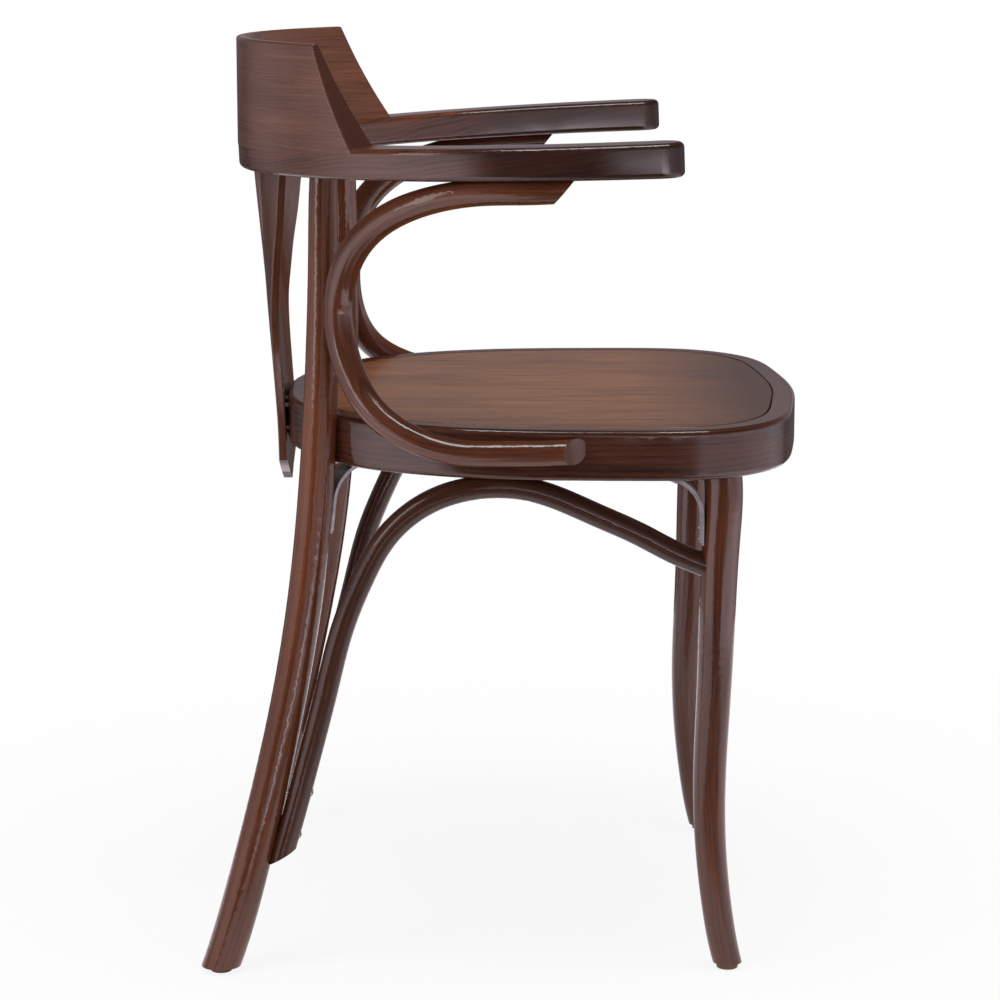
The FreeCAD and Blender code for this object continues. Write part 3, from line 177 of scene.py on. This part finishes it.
def make_stained_beech():
    """Stained beech as a solid pattern: growth rings round a pith that lies beside the
    piece, long fine streaks and fibres drawn out along the grain, short dark ray flecks,
    slow blotches of stain, and darker wood where the surface cuts the fibres end on."""
    group = new_group(
        "stained_beech",
        [
            ("Place", "Vector", (0, 0, 0)), ("Way", "Vector", (0, 0, 1)), ("Board", "Vector", (0, 0, 0)),
            ("Pale", "Color", (0.17, 0.06, 0.025, 1)), ("Deep", "Color", (0.035, 0.011, 0.007, 1)),
            ("Ring Width", "Float", 0.0045), ("Ring Strength", "Float", 0.3),
            ("Streak Strength", "Float", 0.5), ("Fleck Strength", "Float", 0.3),
        ],
        [("Color", "Color"), ("Roughness", "Float"), ("Lacquer", "Float"), ("Height", "Float")],
    )
    add = adder(group)
    given = group.nodes.new("NodeGroupInput").outputs
    place = add("VectorMath", {0: given["Place"], 1: given["Board"]}, operation="ADD").outputs[0]
    wander = stretched_noise(add, place, (5.0, 16.0, 16.0), 2.0)
    split = add("SeparateXYZ", {0: place})
    pith = add("CombineXYZ", {0: 0.0, 1: split.outputs[1], 2: split.outputs[2]})
    away = add("VectorMath", {0: pith.outputs[0]}, operation="LENGTH").outputs["Value"]
    away = math_of(add, "ADD", away, times(add, wander, 0.022))
    turns = math_of(add, "FRACT", math_of(add, "DIVIDE", away, given["Ring Width"]))
    late = ramp(add, turns, 0.3, 0.92)
    late = times(add, late, ramp(add, turns, 1.0, 0.93))
    bands = ramp(add, stretched_noise(add, place, (4.0, 80.0, 80.0), 3.0), 0.34, 0.68)
    streaks = ramp(add, stretched_noise(add, place, (11.0, 380.0, 380.0), 3.0, 0.62), 0.33, 0.67)
    fibres = stretched_noise(add, place, (40.0, 1000.0, 1000.0), 3.0, 0.7)
    flecks = ramp(add, stretched_noise(add, place, (150.0, 1100.0, 1100.0), 1.0), 0.60, 0.72)
    blotch = stretched_noise(add, place, (9.0, 30.0, 30.0), 3.0)
    light = times(add, bands, 0.34)
    light = math_of(add, "ADD", light, times(add, streaks, given["Streak Strength"]))
    light = math_of(add, "ADD", light, ramp(add, fibres, 0.3, 0.7, -0.12, 0.16))
    light = math_of(add, "ADD", light, ramp(add, blotch, 0.35, 0.68, -0.1, 0.2))
    light = math_of(add, "SUBTRACT", light, times(add, late, given["Ring Strength"]))
    light = math_of(add, "SUBTRACT", light, times(add, flecks, given["Fleck Strength"]))
    share = ramp(add, light, -0.3, 0.95)
    colour = blended(add, share, given["Deep"], given["Pale"])
    surface = add("NewGeometry").outputs["Normal"]
    end_on = add("VectorMath", {0: surface, 1: given["Way"]}, operation="DOT_PRODUCT").outputs["Value"]
    end_on = ramp(add, math_of(add, "ABSOLUTE", end_on), 0.3, 0.75)
    cut_ends = blended(add, late, (0.060, 0.019, 0.010, 1.0), (0.010, 0.0034, 0.0024, 1.0))
    colour = blended(add, times(add, end_on, 0.85), colour, cut_ends)
    relief = math_of(add, "SUBTRACT", fibres, times(add, flecks, 0.5))
    out = group.nodes.new("NodeGroupOutput").inputs
    group.links.new(colour, out["Color"])
    group.links.new(ramp(add, fibres, 0.3, 0.7, 0.42, 0.52), out["Roughness"])
    group.links.new(ramp(add, end_on, 0.0, 1.0, 1.0, 0.25), out["Lacquer"])
    group.links.new(relief, out["Height"])
    return group


STAINED_BEECH = make_stained_beech()


def stained_wood(name, board, pale, deep, rings=0.25, ring_width=0.003, streaks=0.5,
                 flecks=0.25, coat=0.95, coat_roughness=0.10, front=None):
    """Lacquered wood: the stained beech pattern under a clear coat, so the wood itself
    mirrors little. board is the place in the tree that the piece was cut from. front =
    (from, to, share) darkens the colour towards the chair's front, between two places
    along y, as painted shade."""
    material = bpy.data.materials.new(name)
    material.use_nodes = True
    tree = material.node_tree
    tree.nodes.clear()
    add = adder(tree)
    pattern = tree.nodes.new("ShaderNodeGroup")
    pattern.node_tree = STAINED_BEECH
    place = add("Attribute", attribute_name="grain_place").outputs["Vector"]
    way = add("Attribute", attribute_name="grain_way").outputs["Vector"]
    tree.links.new(place, pattern.inputs["Place"])
    tree.links.new(way, pattern.inputs["Way"])
    finish = {
        "Board": board, "Pale": pale + (1.0,), "Deep": deep + (1.0,), "Ring Width": ring_width,
        "Ring Strength": rings, "Streak Strength": streaks, "Fleck Strength": flecks,
    }
    for key, value in finish.items():
        pattern.inputs[key].default_value = value
    colour = pattern.outputs["Color"]
    # Painted shade: the colour is darkened towards the chair's front, between two places along y.
    if front:
        forward = add("SeparateXYZ", {0: add("TexCoord").outputs["Object"]}).outputs[1]
        painted_shade = ramp(add, forward, front[0], front[1], 0.0, front[2])
        colour = blended(add, painted_shade, colour, deep + (1.0,))
    bump = add("Bump", {"Height": pattern.outputs["Height"], "Distance": 0.00004, "Strength": 1.0})
    shader = add("BsdfPrincipled", {
        "Base Color": colour, "Roughness": pattern.outputs["Roughness"],
        "Normal": bump.outputs["Normal"], "Specular IOR Level": 0.12,
        "Coat Weight": times(add, pattern.outputs["Lacquer"], coat),
        "Coat Roughness": coat_roughness, "Coat IOR": 1.5,
    })
    add("OutputMaterial", {"Surface": shader.outputs[0]})
    return material


ring_wood = stained_wood(
    "ring_wood", (0.3, 0.021, 0.035), pale=(0.105, 0.028, 0.010), deep=(0.018, 0.005, 0.0035),
    rings=0.4, ring_width=0.005, streaks=0.5,
)
finished_wood("seat_ring", ring_wood, closed_ring_grain)

# Seat panel: thin plywood let into the ring's rebate, its face veneer running from
# front to back. The lacquer is thinner here, so the seat is more satin than the frame.


def front_to_back_grain(points):
    """Straight grain. Along: y. Across: x. Through: the height."""
    way = np.zeros_like(points)
    way[:, 1] = 1.0
    return points[:, [1, 0, 2]], way


# The seat's colour is darkened towards its front edge as painted shade.
panel_wood = stained_wood(
    "panel_wood", (0.8, 0.05, -0.452), pale=(0.30, 0.122, 0.046), deep=(0.045, 0.015, 0.0065),
    rings=0.25, ring_width=0.007, streaks=1.0, flecks=0.15, coat=0.75, coat_roughness=0.22,
    front=(-0.11, -0.21, 0.9),
)
finished_wood("seat_panel", panel_wood, front_to_back_grain)

# Front legs: turned beech, tapered and bent so that the foot kicks forward, with a
# round tenon up into the ring. The grain follows the bend.


def middle_line(points, order, count=56):
    """The piece's own centre line: the middle of the box of the points that fall in
    each of count even steps of the order value, smoothed once by its neighbours."""
    edges = np.linspace(order.min(), order.max(), count + 1)
    step = np.clip(np.searchsorted(edges, order, side="right") - 1, 0, count - 1)
    low = np.full((count, 3), np.inf)
    high = np.full((count, 3), -np.inf)
    np.minimum.at(low, step, points)
    np.maximum.at(high, step, points)
    filled = np.isfinite(low[:, 0])
    line = (low[filled] + high[filled]) / 2
    inner = (line[:-2] + 2 * line[1:-1] + line[2:]) / 4
    return np.concatenate([line[:1], inner, line[-1:]])


def followed_grain(line, side_way):
    """Grain that follows a centre line. Along: the length of the line to the nearest of
    its points, plus the rest measured on the tangent. Across and through: the offset
    from the line, measured on the side way and square to it."""
    tangent = np.gradient(line, axis=0)
    tangent /= np.linalg.norm(tangent, axis=1, keepdims=True)
    run = np.concatenate([[0.0], np.cumsum(np.linalg.norm(np.diff(line, axis=0), axis=1))])

    def grain_at(points):
        nearest = np.linalg.norm(points[:, None, :] - line[None, :, :], axis=2).argmin(axis=1)
        offset = points - line[nearest]
        way = tangent[nearest]
        past = (offset * way).sum(axis=1)
        sideways = side_way - way * (way @ side_way)[:, None]
        sideways /= np.linalg.norm(sideways, axis=1, keepdims=True)
        third = np.cross(way, sideways)
        across = (offset * sideways).sum(axis=1)
        through = (offset * third).sum(axis=1)
        return np.stack([run[nearest] + past, across, through], axis=1), way
    return grain_at


LEFTWARD = np.array([1.0, 0.0, 0.0])


def upright_grain(node):
    """Grain along a standing piece: its centre line is found step by step in height."""
    points = points_of(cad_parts[node].data)
    return followed_grain(middle_line(points, points[:, 2]), LEFTWARD)


# Painted shade: the front legs' colour is kept darker than the rear legs', as they take less light.
for side, board in (("left", (0.1, 0.034, 0.048)), ("right", (0.9, 0.040, 0.028))):
    leg_wood = stained_wood(
        "front_leg_wood_" + side, board, pale=(0.17, 0.046, 0.016), deep=(0.034, 0.009, 0.005),
        streaks=0.2, flecks=0.15,
    )
    finished_wood("front_leg_" + side, leg_wood, upright_grain("front_leg_" + side))

# Rear legs: bent beech from the floor up to the arm bow, flared back and outwards at
# the foot, seated against the ring's outer face and held there by a bolt.
# Painted light: the rear legs' colour is paler than the front legs', as they take more light.
for side, board in (("left", (0.5, 0.046, 0.033)), ("right", (1.7, 0.031, 0.052))):
    leg_wood = stained_wood(
        "rear_leg_wood_" + side, board, pale=(0.21, 0.056, 0.016), deep=(0.055, 0.0135, 0.0055),
        streaks=0.2, flecks=0.15,
    )
    finished_wood("rear_leg_" + side, leg_wood, upright_grain("rear_leg_" + side))

# Side braces: thin beech rods bent into an arch on each side, from low on the rear
# leg, up under the ring, and down into the front leg.


def bent_rod_grain(node, pivot, start):
    """Grain along a rod bent in an upright plane: its centre line is found step by step
    in the angle round a pivot (y, z) inside the bend, measured on from the start."""
    points = points_of(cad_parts[node].data)
    angle = np.arctan2(points[:, 2] - pivot[1], points[:, 1] - pivot[0]) - start
    return followed_grain(middle_line(points, np.mod(angle, 2 * math.pi), 72), LEFTWARD)


pivot_height_share = 0.3
# Painted shade: the braces' colour is kept darker than the legs', as they lie in the shade under the
# seat.
for side, board in (("left", (0.7, 0.030, 0.041)), ("right", (2.3, 0.037, 0.030))):
    node = "side_arch_" + side
    low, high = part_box(node)
    pivot = (0.0, low.z + (high.z - low.z) * pivot_height_share)
    rod_wood = stained_wood(
        "arch_wood_" + side, board, pale=(0.085, 0.025, 0.010), deep=(0.020, 0.006, 0.004),
        streaks=0.2, flecks=0.15,
    )
    finished_wood(node, rod_wood, bent_rod_grain(node, pivot, math.radians(-90)))

# Corner brackets: bent steel strip with two pressed ribs, zinc-plated, screwed under
# the ring and to the inner side of each leg.


def plated_steel(name, colour, roughness, metallic):
    """Zinc-plated steel: cloudy grey, finely mottled and a little uneven in its shine."""
    material = bpy.data.materials.new(name)
    material.use_nodes = True
    tree = material.node_tree
    tree.nodes.clear()
    add = adder(tree)
    place = add("TexCoord").outputs["Object"]
    cloud = stretched_noise(add, place, (90.0, 90.0, 90.0), 3.0)
    speck = stretched_noise(add, place, (1400.0, 1400.0, 500.0), 2.0)
    dull_share = 0.62
    dull = tuple(channel * dull_share for channel in colour) + (1.0,)
    tone = blended(add, ramp(add, cloud, 0.32, 0.66), dull, colour + (1.0,))
    bump = add("Bump", {"Height": speck, "Distance": 0.00005, "Strength": 0.7})
    shader = add("BsdfPrincipled", {
        "Base Color": tone, "Metallic": metallic, "Normal": bump.outputs["Normal"],
        "Roughness": ramp(add, speck, 0.3, 0.7, roughness - 0.06, roughness + 0.1),
    })
    add("OutputMaterial", {"Surface": shader.outputs[0]})
    return material


def dress_node(node, material):
    """A CAD node whose shape is right keeps its mesh and takes the material."""
    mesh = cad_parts[node].data
    mesh.materials.clear()
    mesh.materials.append(material)


bracket_steel = plated_steel("bracket_steel", (0.50, 0.47, 0.49), 0.42, 0.75)
for corner in ("front_left", "front_right", "rear_left", "rear_right"):
    dress_node("bracket_" + corner, bracket_steel)

# Arm bow: one long beech board bent on edge into both arms and the back. Its fibres
# follow the bend, and run out a little at the sides of the arms where it was sawn.


def bow_shape():
    """The bow's plan ellipse, read from its points: its half width, its reach and the
    place of its centre along y, which is where the bow is widest."""
    points = points_of(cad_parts["arm_bow"].data)
    slack = 0.00002
    widest = points[:, 0] > points[:, 0].max() - slack
    centre = points[widest, 1].mean()
    return points[:, 0].max(), points[:, 1].max() - centre, centre


def bow_grain(slope):
    """Along: the length of the bow's ellipse up to the point's own angle on it. Across:
    the distance inwards from the ellipse. Through: the height, tilted by the slope."""
    half_width, reach, centre = bow_shape()
    past_widest = 0.6
    turns = np.linspace(-past_widest, math.pi + past_widest, 400)
    step = np.hypot(half_width * np.sin(turns), reach * np.cos(turns)) * (turns[1] - turns[0])
    run = np.cumsum(step)

    def grain_at(points):
        leftward = points[:, 0] / half_width
        rearward = (points[:, 1] - centre) / reach
        turn = np.arctan2(rearward, leftward)
        turn = np.where(turn < -math.pi / 2, turn + 2 * math.pi, turn)
        local = np.hypot(half_width * np.cos(turn), reach * np.sin(turn))
        along = np.interp(turn, turns, run)
        across = (1 - np.hypot(leftward, rearward)) * local
        through = points[:, 2] + slope * np.abs(points[:, 1] - centre)
        way = np.stack([-half_width * np.sin(turn), reach * np.cos(turn), np.zeros(len(points))], axis=1)
        way /= np.linalg.norm(way, axis=1, keepdims=True)
        return np.stack([along, across, through], axis=1), way
    return grain_at


# The arms' colour is darkened towards their front ends as painted shade.
arm_wood = stained_wood(
    "arm_wood", (0.2, 0.045, -0.66), pale=(0.165, 0.052, 0.026), deep=(0.014, 0.0045, 0.0036),
    rings=0.3, ring_width=0.0028, streaks=0.5, front=(0.06, 0.0, 0.75),
)
finished_wood("arm_bow", arm_wood, bow_grain(0.16))

# Arm loops: thicker beech rods bent into a C, bolted to the ring's side and dowelled up
# into the arm. The middle of the bend is thicker than the flattened ends.
pivot_depth_share = 0.28
for side, board in (("left", (1.1, 0.035, 0.040)), ("right", (0.4, 0.042, 0.034))):
    node = "arm_loop_" + side
    low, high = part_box(node)
    pivot = (low.y + (high.y - low.y) * pivot_depth_share, (low.z + high.z) / 2)
    loop_wood = stained_wood(
        "loop_wood_" + side, board, pale=(0.18, 0.049, 0.016), deep=(0.036, 0.0095, 0.005),
        streaks=0.2, flecks=0.15,
    )
    finished_wood(node, loop_wood, bent_rod_grain(node, pivot, math.radians(-180)))

# Crest: a wedge-section block glued on top of the bow, shaped flush with it outside,
# with swept ends that show dark end grain.
crest_wood = stained_wood(
    "crest_wood", (2.2, 0.050, -0.60), pale=(0.185, 0.068, 0.038), deep=(0.060, 0.021, 0.013),
    rings=0.22, ring_width=0.0025, streaks=0.5, coat_roughness=0.16,
)
finished_wood("crest_block", crest_wood, bow_grain(0.0))

# Back slats: three thin strips, bent and fanned out, screwed to the ring's rear face
# and let into the bow from below.
slat_boards = {"left": (0.6, 0.028, 0.052), "centre": (1.5, 0.022, 0.043), "right": (2.9, 0.036, 0.061)}
for name, board in slat_boards.items():
    slat_wood = stained_wood(
        "slat_wood_" + name, board, pale=(0.17, 0.055, 0.025), deep=(0.038, 0.012, 0.008), streaks=0.45,
    )
    finished_wood("back_slat_" + name, slat_wood, upright_grain("back_slat_" + name))

# Fasteners: steel screws, bolts, washers and glide nails, and plain beech dowels that
# stay inside the joints.
screw_steel = plated_steel("screw_steel", (0.42, 0.40, 0.38), 0.34, 0.9)
bolt_steel = plated_steel("bolt_steel", (0.52, 0.51, 0.50), 0.3, 0.9)
nail_steel = plated_steel("nail_steel", (0.46, 0.45, 0.45), 0.3, 0.9)
for node in ("arch_foot_screws", "arch_crown_screws", "slat_screws", "bracket_screws"):
    dress_node(node, screw_steel)
for node in ("ring_bolts", "ring_washers"):
    dress_node(node, bolt_steel)
dress_node("glide_nails", nail_steel)


def plain_beech():
    """Bare beech: pale fibres drawn out along z."""
    material = bpy.data.materials.new("dowel_wood")
    material.use_nodes = True
    tree = material.node_tree
    tree.nodes.clear()
    add = adder(tree)
    fibres = stretched_noise(add, add("TexCoord").outputs["Object"], (700.0, 700.0, 40.0), 3.0)
    tone = blended(add, ramp(add, fibres, 0.3, 0.7), (0.40, 0.25, 0.14, 1.0), (0.58, 0.40, 0.24, 1.0))
    bump = add("Bump", {"Height": fibres, "Distance": 0.00008})
    shader = add("BsdfPrincipled", {
        "Base Color": tone, "Roughness": 0.6, "Normal": bump.outputs["Normal"],
    })
    add("OutputMaterial", {"Surface": shader.outputs[0]})
    return material


dowel_wood = plain_beech()
for node in sorted(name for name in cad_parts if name.endswith("_dowels")):
    dress_node(node, dowel_wood)

# Foot glides: round brown plastic pads nailed under the feet, scuffed from below.


def scuffed_plastic():
    """Brown plastic, dulled and greyed towards the floor where the pad is rubbed."""
    material = bpy.data.materials.new("glide_plastic")
    material.use_nodes = True
    tree = material.node_tree
    tree.nodes.clear()
    add = adder(tree)
    place = add("TexCoord").outputs["Object"]
    mottle = stretched_noise(add, place, (500.0, 500.0, 500.0), 3.0)
    rubbed = ramp(add, add("SeparateXYZ", {0: place}).outputs[2], 0.0015, 0.0)
    share = ramp(add, mottle, 0.3, 0.7)
    tone = blended(add, share, (0.13, 0.060, 0.042, 1.0), (0.22, 0.115, 0.085, 1.0))
    tone = blended(add, times(add, rubbed, 0.5), tone, (0.33, 0.25, 0.21, 1.0))
    bump = add("Bump", {"Height": mottle, "Distance": 0.0001})
    shader = add("BsdfPrincipled", {
        "Base Color": tone, "Roughness": 0.52, "Normal": bump.outputs["Normal"],
    })
    add("OutputMaterial", {"Surface": shader.outputs[0]})
    return material


glide_plastic = scuffed_plastic()
for corner in ("front_left", "front_right", "rear_left", "rear_right"):
    dress_node("foot_glide_" + corner, glide_plastic)

# Floor: a round pale disc with the chair's soft shadow, going over into white for the
# camera. In the lacquer it is white, but dark in a patch beside the chair's right side.
floor_radius = 1.15
floor_sides = 96
floor_turns = np.linspace(0.0, 2 * math.pi, floor_sides, endpoint=False)
floor_rim = np.stack([np.cos(floor_turns), np.sin(floor_turns), np.zeros(floor_sides)], axis=1)
floor_mesh = bpy.data.meshes.new("floor")
floor_mesh.from_pydata((floor_rim * floor_radius).tolist(), [], [tuple(range(floor_sides))])
floor = bpy.data.objects.new("floor", floor_mesh)
bpy.context.scene.collection.objects.link(floor)
floor_paint = bpy.data.materials.new("floor_paint")
floor_paint.use_nodes = True
floor_tree = floor_paint.node_tree
floor_tree.nodes.clear()
add = adder(floor_tree)
floor_place = add("TexCoord").outputs["Object"]
from_chair = add("VectorMath", {0: floor_place}, operation="LENGTH").outputs["Value"]
floor_rays = add("LightPath").outputs
seen_white = times(add, floor_rays["Is Camera Ray"], ramp(add, from_chair, 0.3, 1.0, 0.88, 1.0))
mirrored_white = times(add, ramp(add, from_chair, 0.15, 0.7, 0.25, 0.9), floor_rays["Is Glossy Ray"])
floor_x, floor_y = add("SeparateXYZ", {0: floor_place}).outputs[:2]
dark_patch = times(add, ramp(add, floor_x, -0.32, -0.5), ramp(add, floor_y, 0.25, 0.1))
dark_patch = times(add, dark_patch, ramp(add, floor_y, -0.75, -0.6))
mirrored_level = ramp(add, dark_patch, 0.0, 1.0, 1.3, 0.1)
matt = add("BsdfDiffuse", {"Color": (0.84, 0.84, 0.84, 1.0)})
white = add("Emission", {"Color": (1.0, 1.0, 1.0, 1.0), "Strength": 1.0})
glow = add("Emission", {"Color": (1.0, 0.90, 0.98, 1.0), "Strength": mirrored_level})
floor_shader = add("MixShader", {0: seen_white, 1: matt.outputs[0], 2: white.outputs[0]})
floor_shader = add("MixShader", {0: mirrored_white, 1: floor_shader.outputs[0], 2: glow.outputs[0]})
add("OutputMaterial", {"Surface": floor_shader.outputs[0]})
floor_mesh.materials.append(floor_paint)

# Lamps: a long soft box overhead, and a weaker one behind the chair on its right. Both
# light the middle of the chair.


def soft_lamp(name, place, size_x, size_y, radiance):
    """A rectangular soft box: its power is its radiance times its area times pi."""
    data = bpy.data.lights.new(name, "AREA")
    data.shape = "RECTANGLE"
    data.size = size_x
    data.size_y = size_y
    data.energy = radiance * size_x * size_y * math.pi
    lamp = bpy.data.objects.new(name, data)
    lamp.location = place
    lamp.rotation_mode = "QUATERNION"
    chair_middle = Vector((0.0, 0.0, 0.4))
    lamp.rotation_quaternion = (chair_middle - Vector(place)).to_track_quat("-Z", "Y")
    bpy.context.scene.collection.objects.link(lamp)


soft_lamp("overhead_box", (-0.45, -0.1, 2.4), 1.7, 0.55, 9.0)
soft_lamp("side_box", (-1.6, 2.2, 1.3), 0.6, 1.4, 3.0)

# Room: plain white for the camera and an even fill for the wood. The lacquer mirrors
# panels that stand round the chair: each lifts or lowers the room's level over a
# range of turns and of heights.
room = bpy.data.worlds.new("white_room")
bpy.context.scene.world = room
room.use_nodes = True
room_tree = room.node_tree
room_tree.nodes.clear()
add = adder(room_tree)
heading = add("SeparateXYZ", {0: add("TexCoord").outputs["Generated"]}).outputs
rise = heading[2]
turn = math_of(add, "ARCTAN2", times(add, heading[1], -1.0), times(add, heading[0], -1.0))
turn = times(add, turn, math.degrees(1.0))


def panel(centre, half, soft):
    """One inside a range of turns, in degrees from the chair's right side towards its
    front, and zero outside it, with soft edges."""
    off = math_of(add, "ABSOLUTE", math_of(add, "SUBTRACT", turn, centre))
    return ramp(add, off, half + soft, half - soft)


# White in front: least so where the seat ring mirrors it, and brightest in the narrow
# strip that the near arm mirrors.
front_height = ramp(add, math_of(add, "ABSOLUTE", math_of(add, "ADD", rise, 0.17)), 0.03, 0.06, 0.1, 1.3)
front_height = times(add, front_height, ramp(add, rise, -0.086, -0.077, 1.0, -0.1))
front_gain = times(add, panel(56, 48, 8), front_height)
arm_height = times(add, ramp(add, rise, -0.105, -0.095), ramp(add, rise, -0.087, -0.081, 4.2, 0.0))
arm_gain = times(add, panel(18, 24, 5), arm_height)

# White between the right and the rear, and greyer from the rear round to the left side,
# so that the rods' edges stay dark. High up on the left it is lighter again.
rear_right_gain = times(add, panel(-60, 28, 12), ramp(add, rise, -0.14, -0.06, 1.1, 0.45))
rear_left_loss = times(add, panel(-122, 38, 14), -0.45)
on_left = ramp(add, math_of(add, "ABSOLUTE", turn), 118.0, 145.0)
low_left_loss = times(add, on_left, ramp(add, rise, 0.02, -0.06, -0.5, -0.9))
high_left_gain = times(add, on_left, ramp(add, rise, 0.0, 0.1))
high_left_gain = times(add, high_left_gain, ramp(add, rise, 0.14, 0.165, -0.3, 0.35))

# A black gap on the right, narrower and farther back for the arms than for the legs, in
# which the stain shows its depth.
gap_turn = ramp(add, rise, -0.165, -0.12, -4.0, -24.0)
gap_half = ramp(add, rise, -0.26, -0.20, 24.0, 34.0)
gap_half = math_of(add, "SUBTRACT", gap_half, ramp(add, rise, -0.165, -0.12, 0.0, 18.0))
past_gap = math_of(add, "ABSOLUTE", math_of(add, "SUBTRACT", turn, gap_turn))
past_gap = math_of(add, "SUBTRACT", past_gap, gap_half)
gap_loss = ramp(add, past_gap, 4.0, -4.0, 0.0, -0.98)

# The room's level falls off with the height, and each panel multiplies it.
level = math_of(add, "POWER", 0.0067, math_of(add, "MAXIMUM", rise, 0.0))
level = times(add, level, 0.9)
panels = (
    front_gain, arm_gain, rear_right_gain, rear_left_loss, gap_loss, low_left_loss, high_left_gain,
)
for gain in panels:
    level = times(add, level, math_of(add, "ADD", gain, 1.0))
room_rays = add("LightPath").outputs
fill = add("Background", {"Color": (1.0, 0.98, 0.97, 1.0), "Strength": 0.62})
gloss = add("Background", {"Color": (1.0, 0.90, 0.98, 1.0), "Strength": level})
backdrop = add("Background", {"Color": (1.0, 1.0, 1.0, 1.0), "Strength": 1.0})
lit = add("MixShader", {0: room_rays["Is Glossy Ray"], 1: fill.outputs[0], 2: gloss.outputs[0]})
shown = add("MixShader", {0: room_rays["Is Camera Ray"], 1: lit.outputs[0], 2: backdrop.outputs[0]})
add("OutputWorld", {"Surface": shown.outputs[0]})
bpy.context.scene.view_settings.view_transform = "Standard"

# Camera: on the chair's right side, a little above the arms, looking slightly down. Its
# place was fitted so that the chair's proportions agree with the photo.
camera_data = bpy.data.cameras.new("camera")
focal_share = 3.16
camera_data.sensor_width = 36.0
camera_data.lens = camera_data.sensor_width * focal_share
camera = bpy.data.objects.new("camera", camera_data)
camera.location = (-2.747, -0.019, 0.8935)
camera_drop = math.radians(10.95)
camera_turn = math.radians(0.51)
camera_aim = Vector((
    math.cos(camera_drop) * math.cos(camera_turn),
    math.cos(camera_drop) * math.sin(camera_turn),
    -math.sin(camera_drop),
))
camera.rotation_mode = "QUATERNION"
camera.rotation_quaternion = camera_aim.to_track_quat("-Z", "Y")
bpy.context.scene.collection.objects.link(camera)
bpy.context.scene.camera = camera
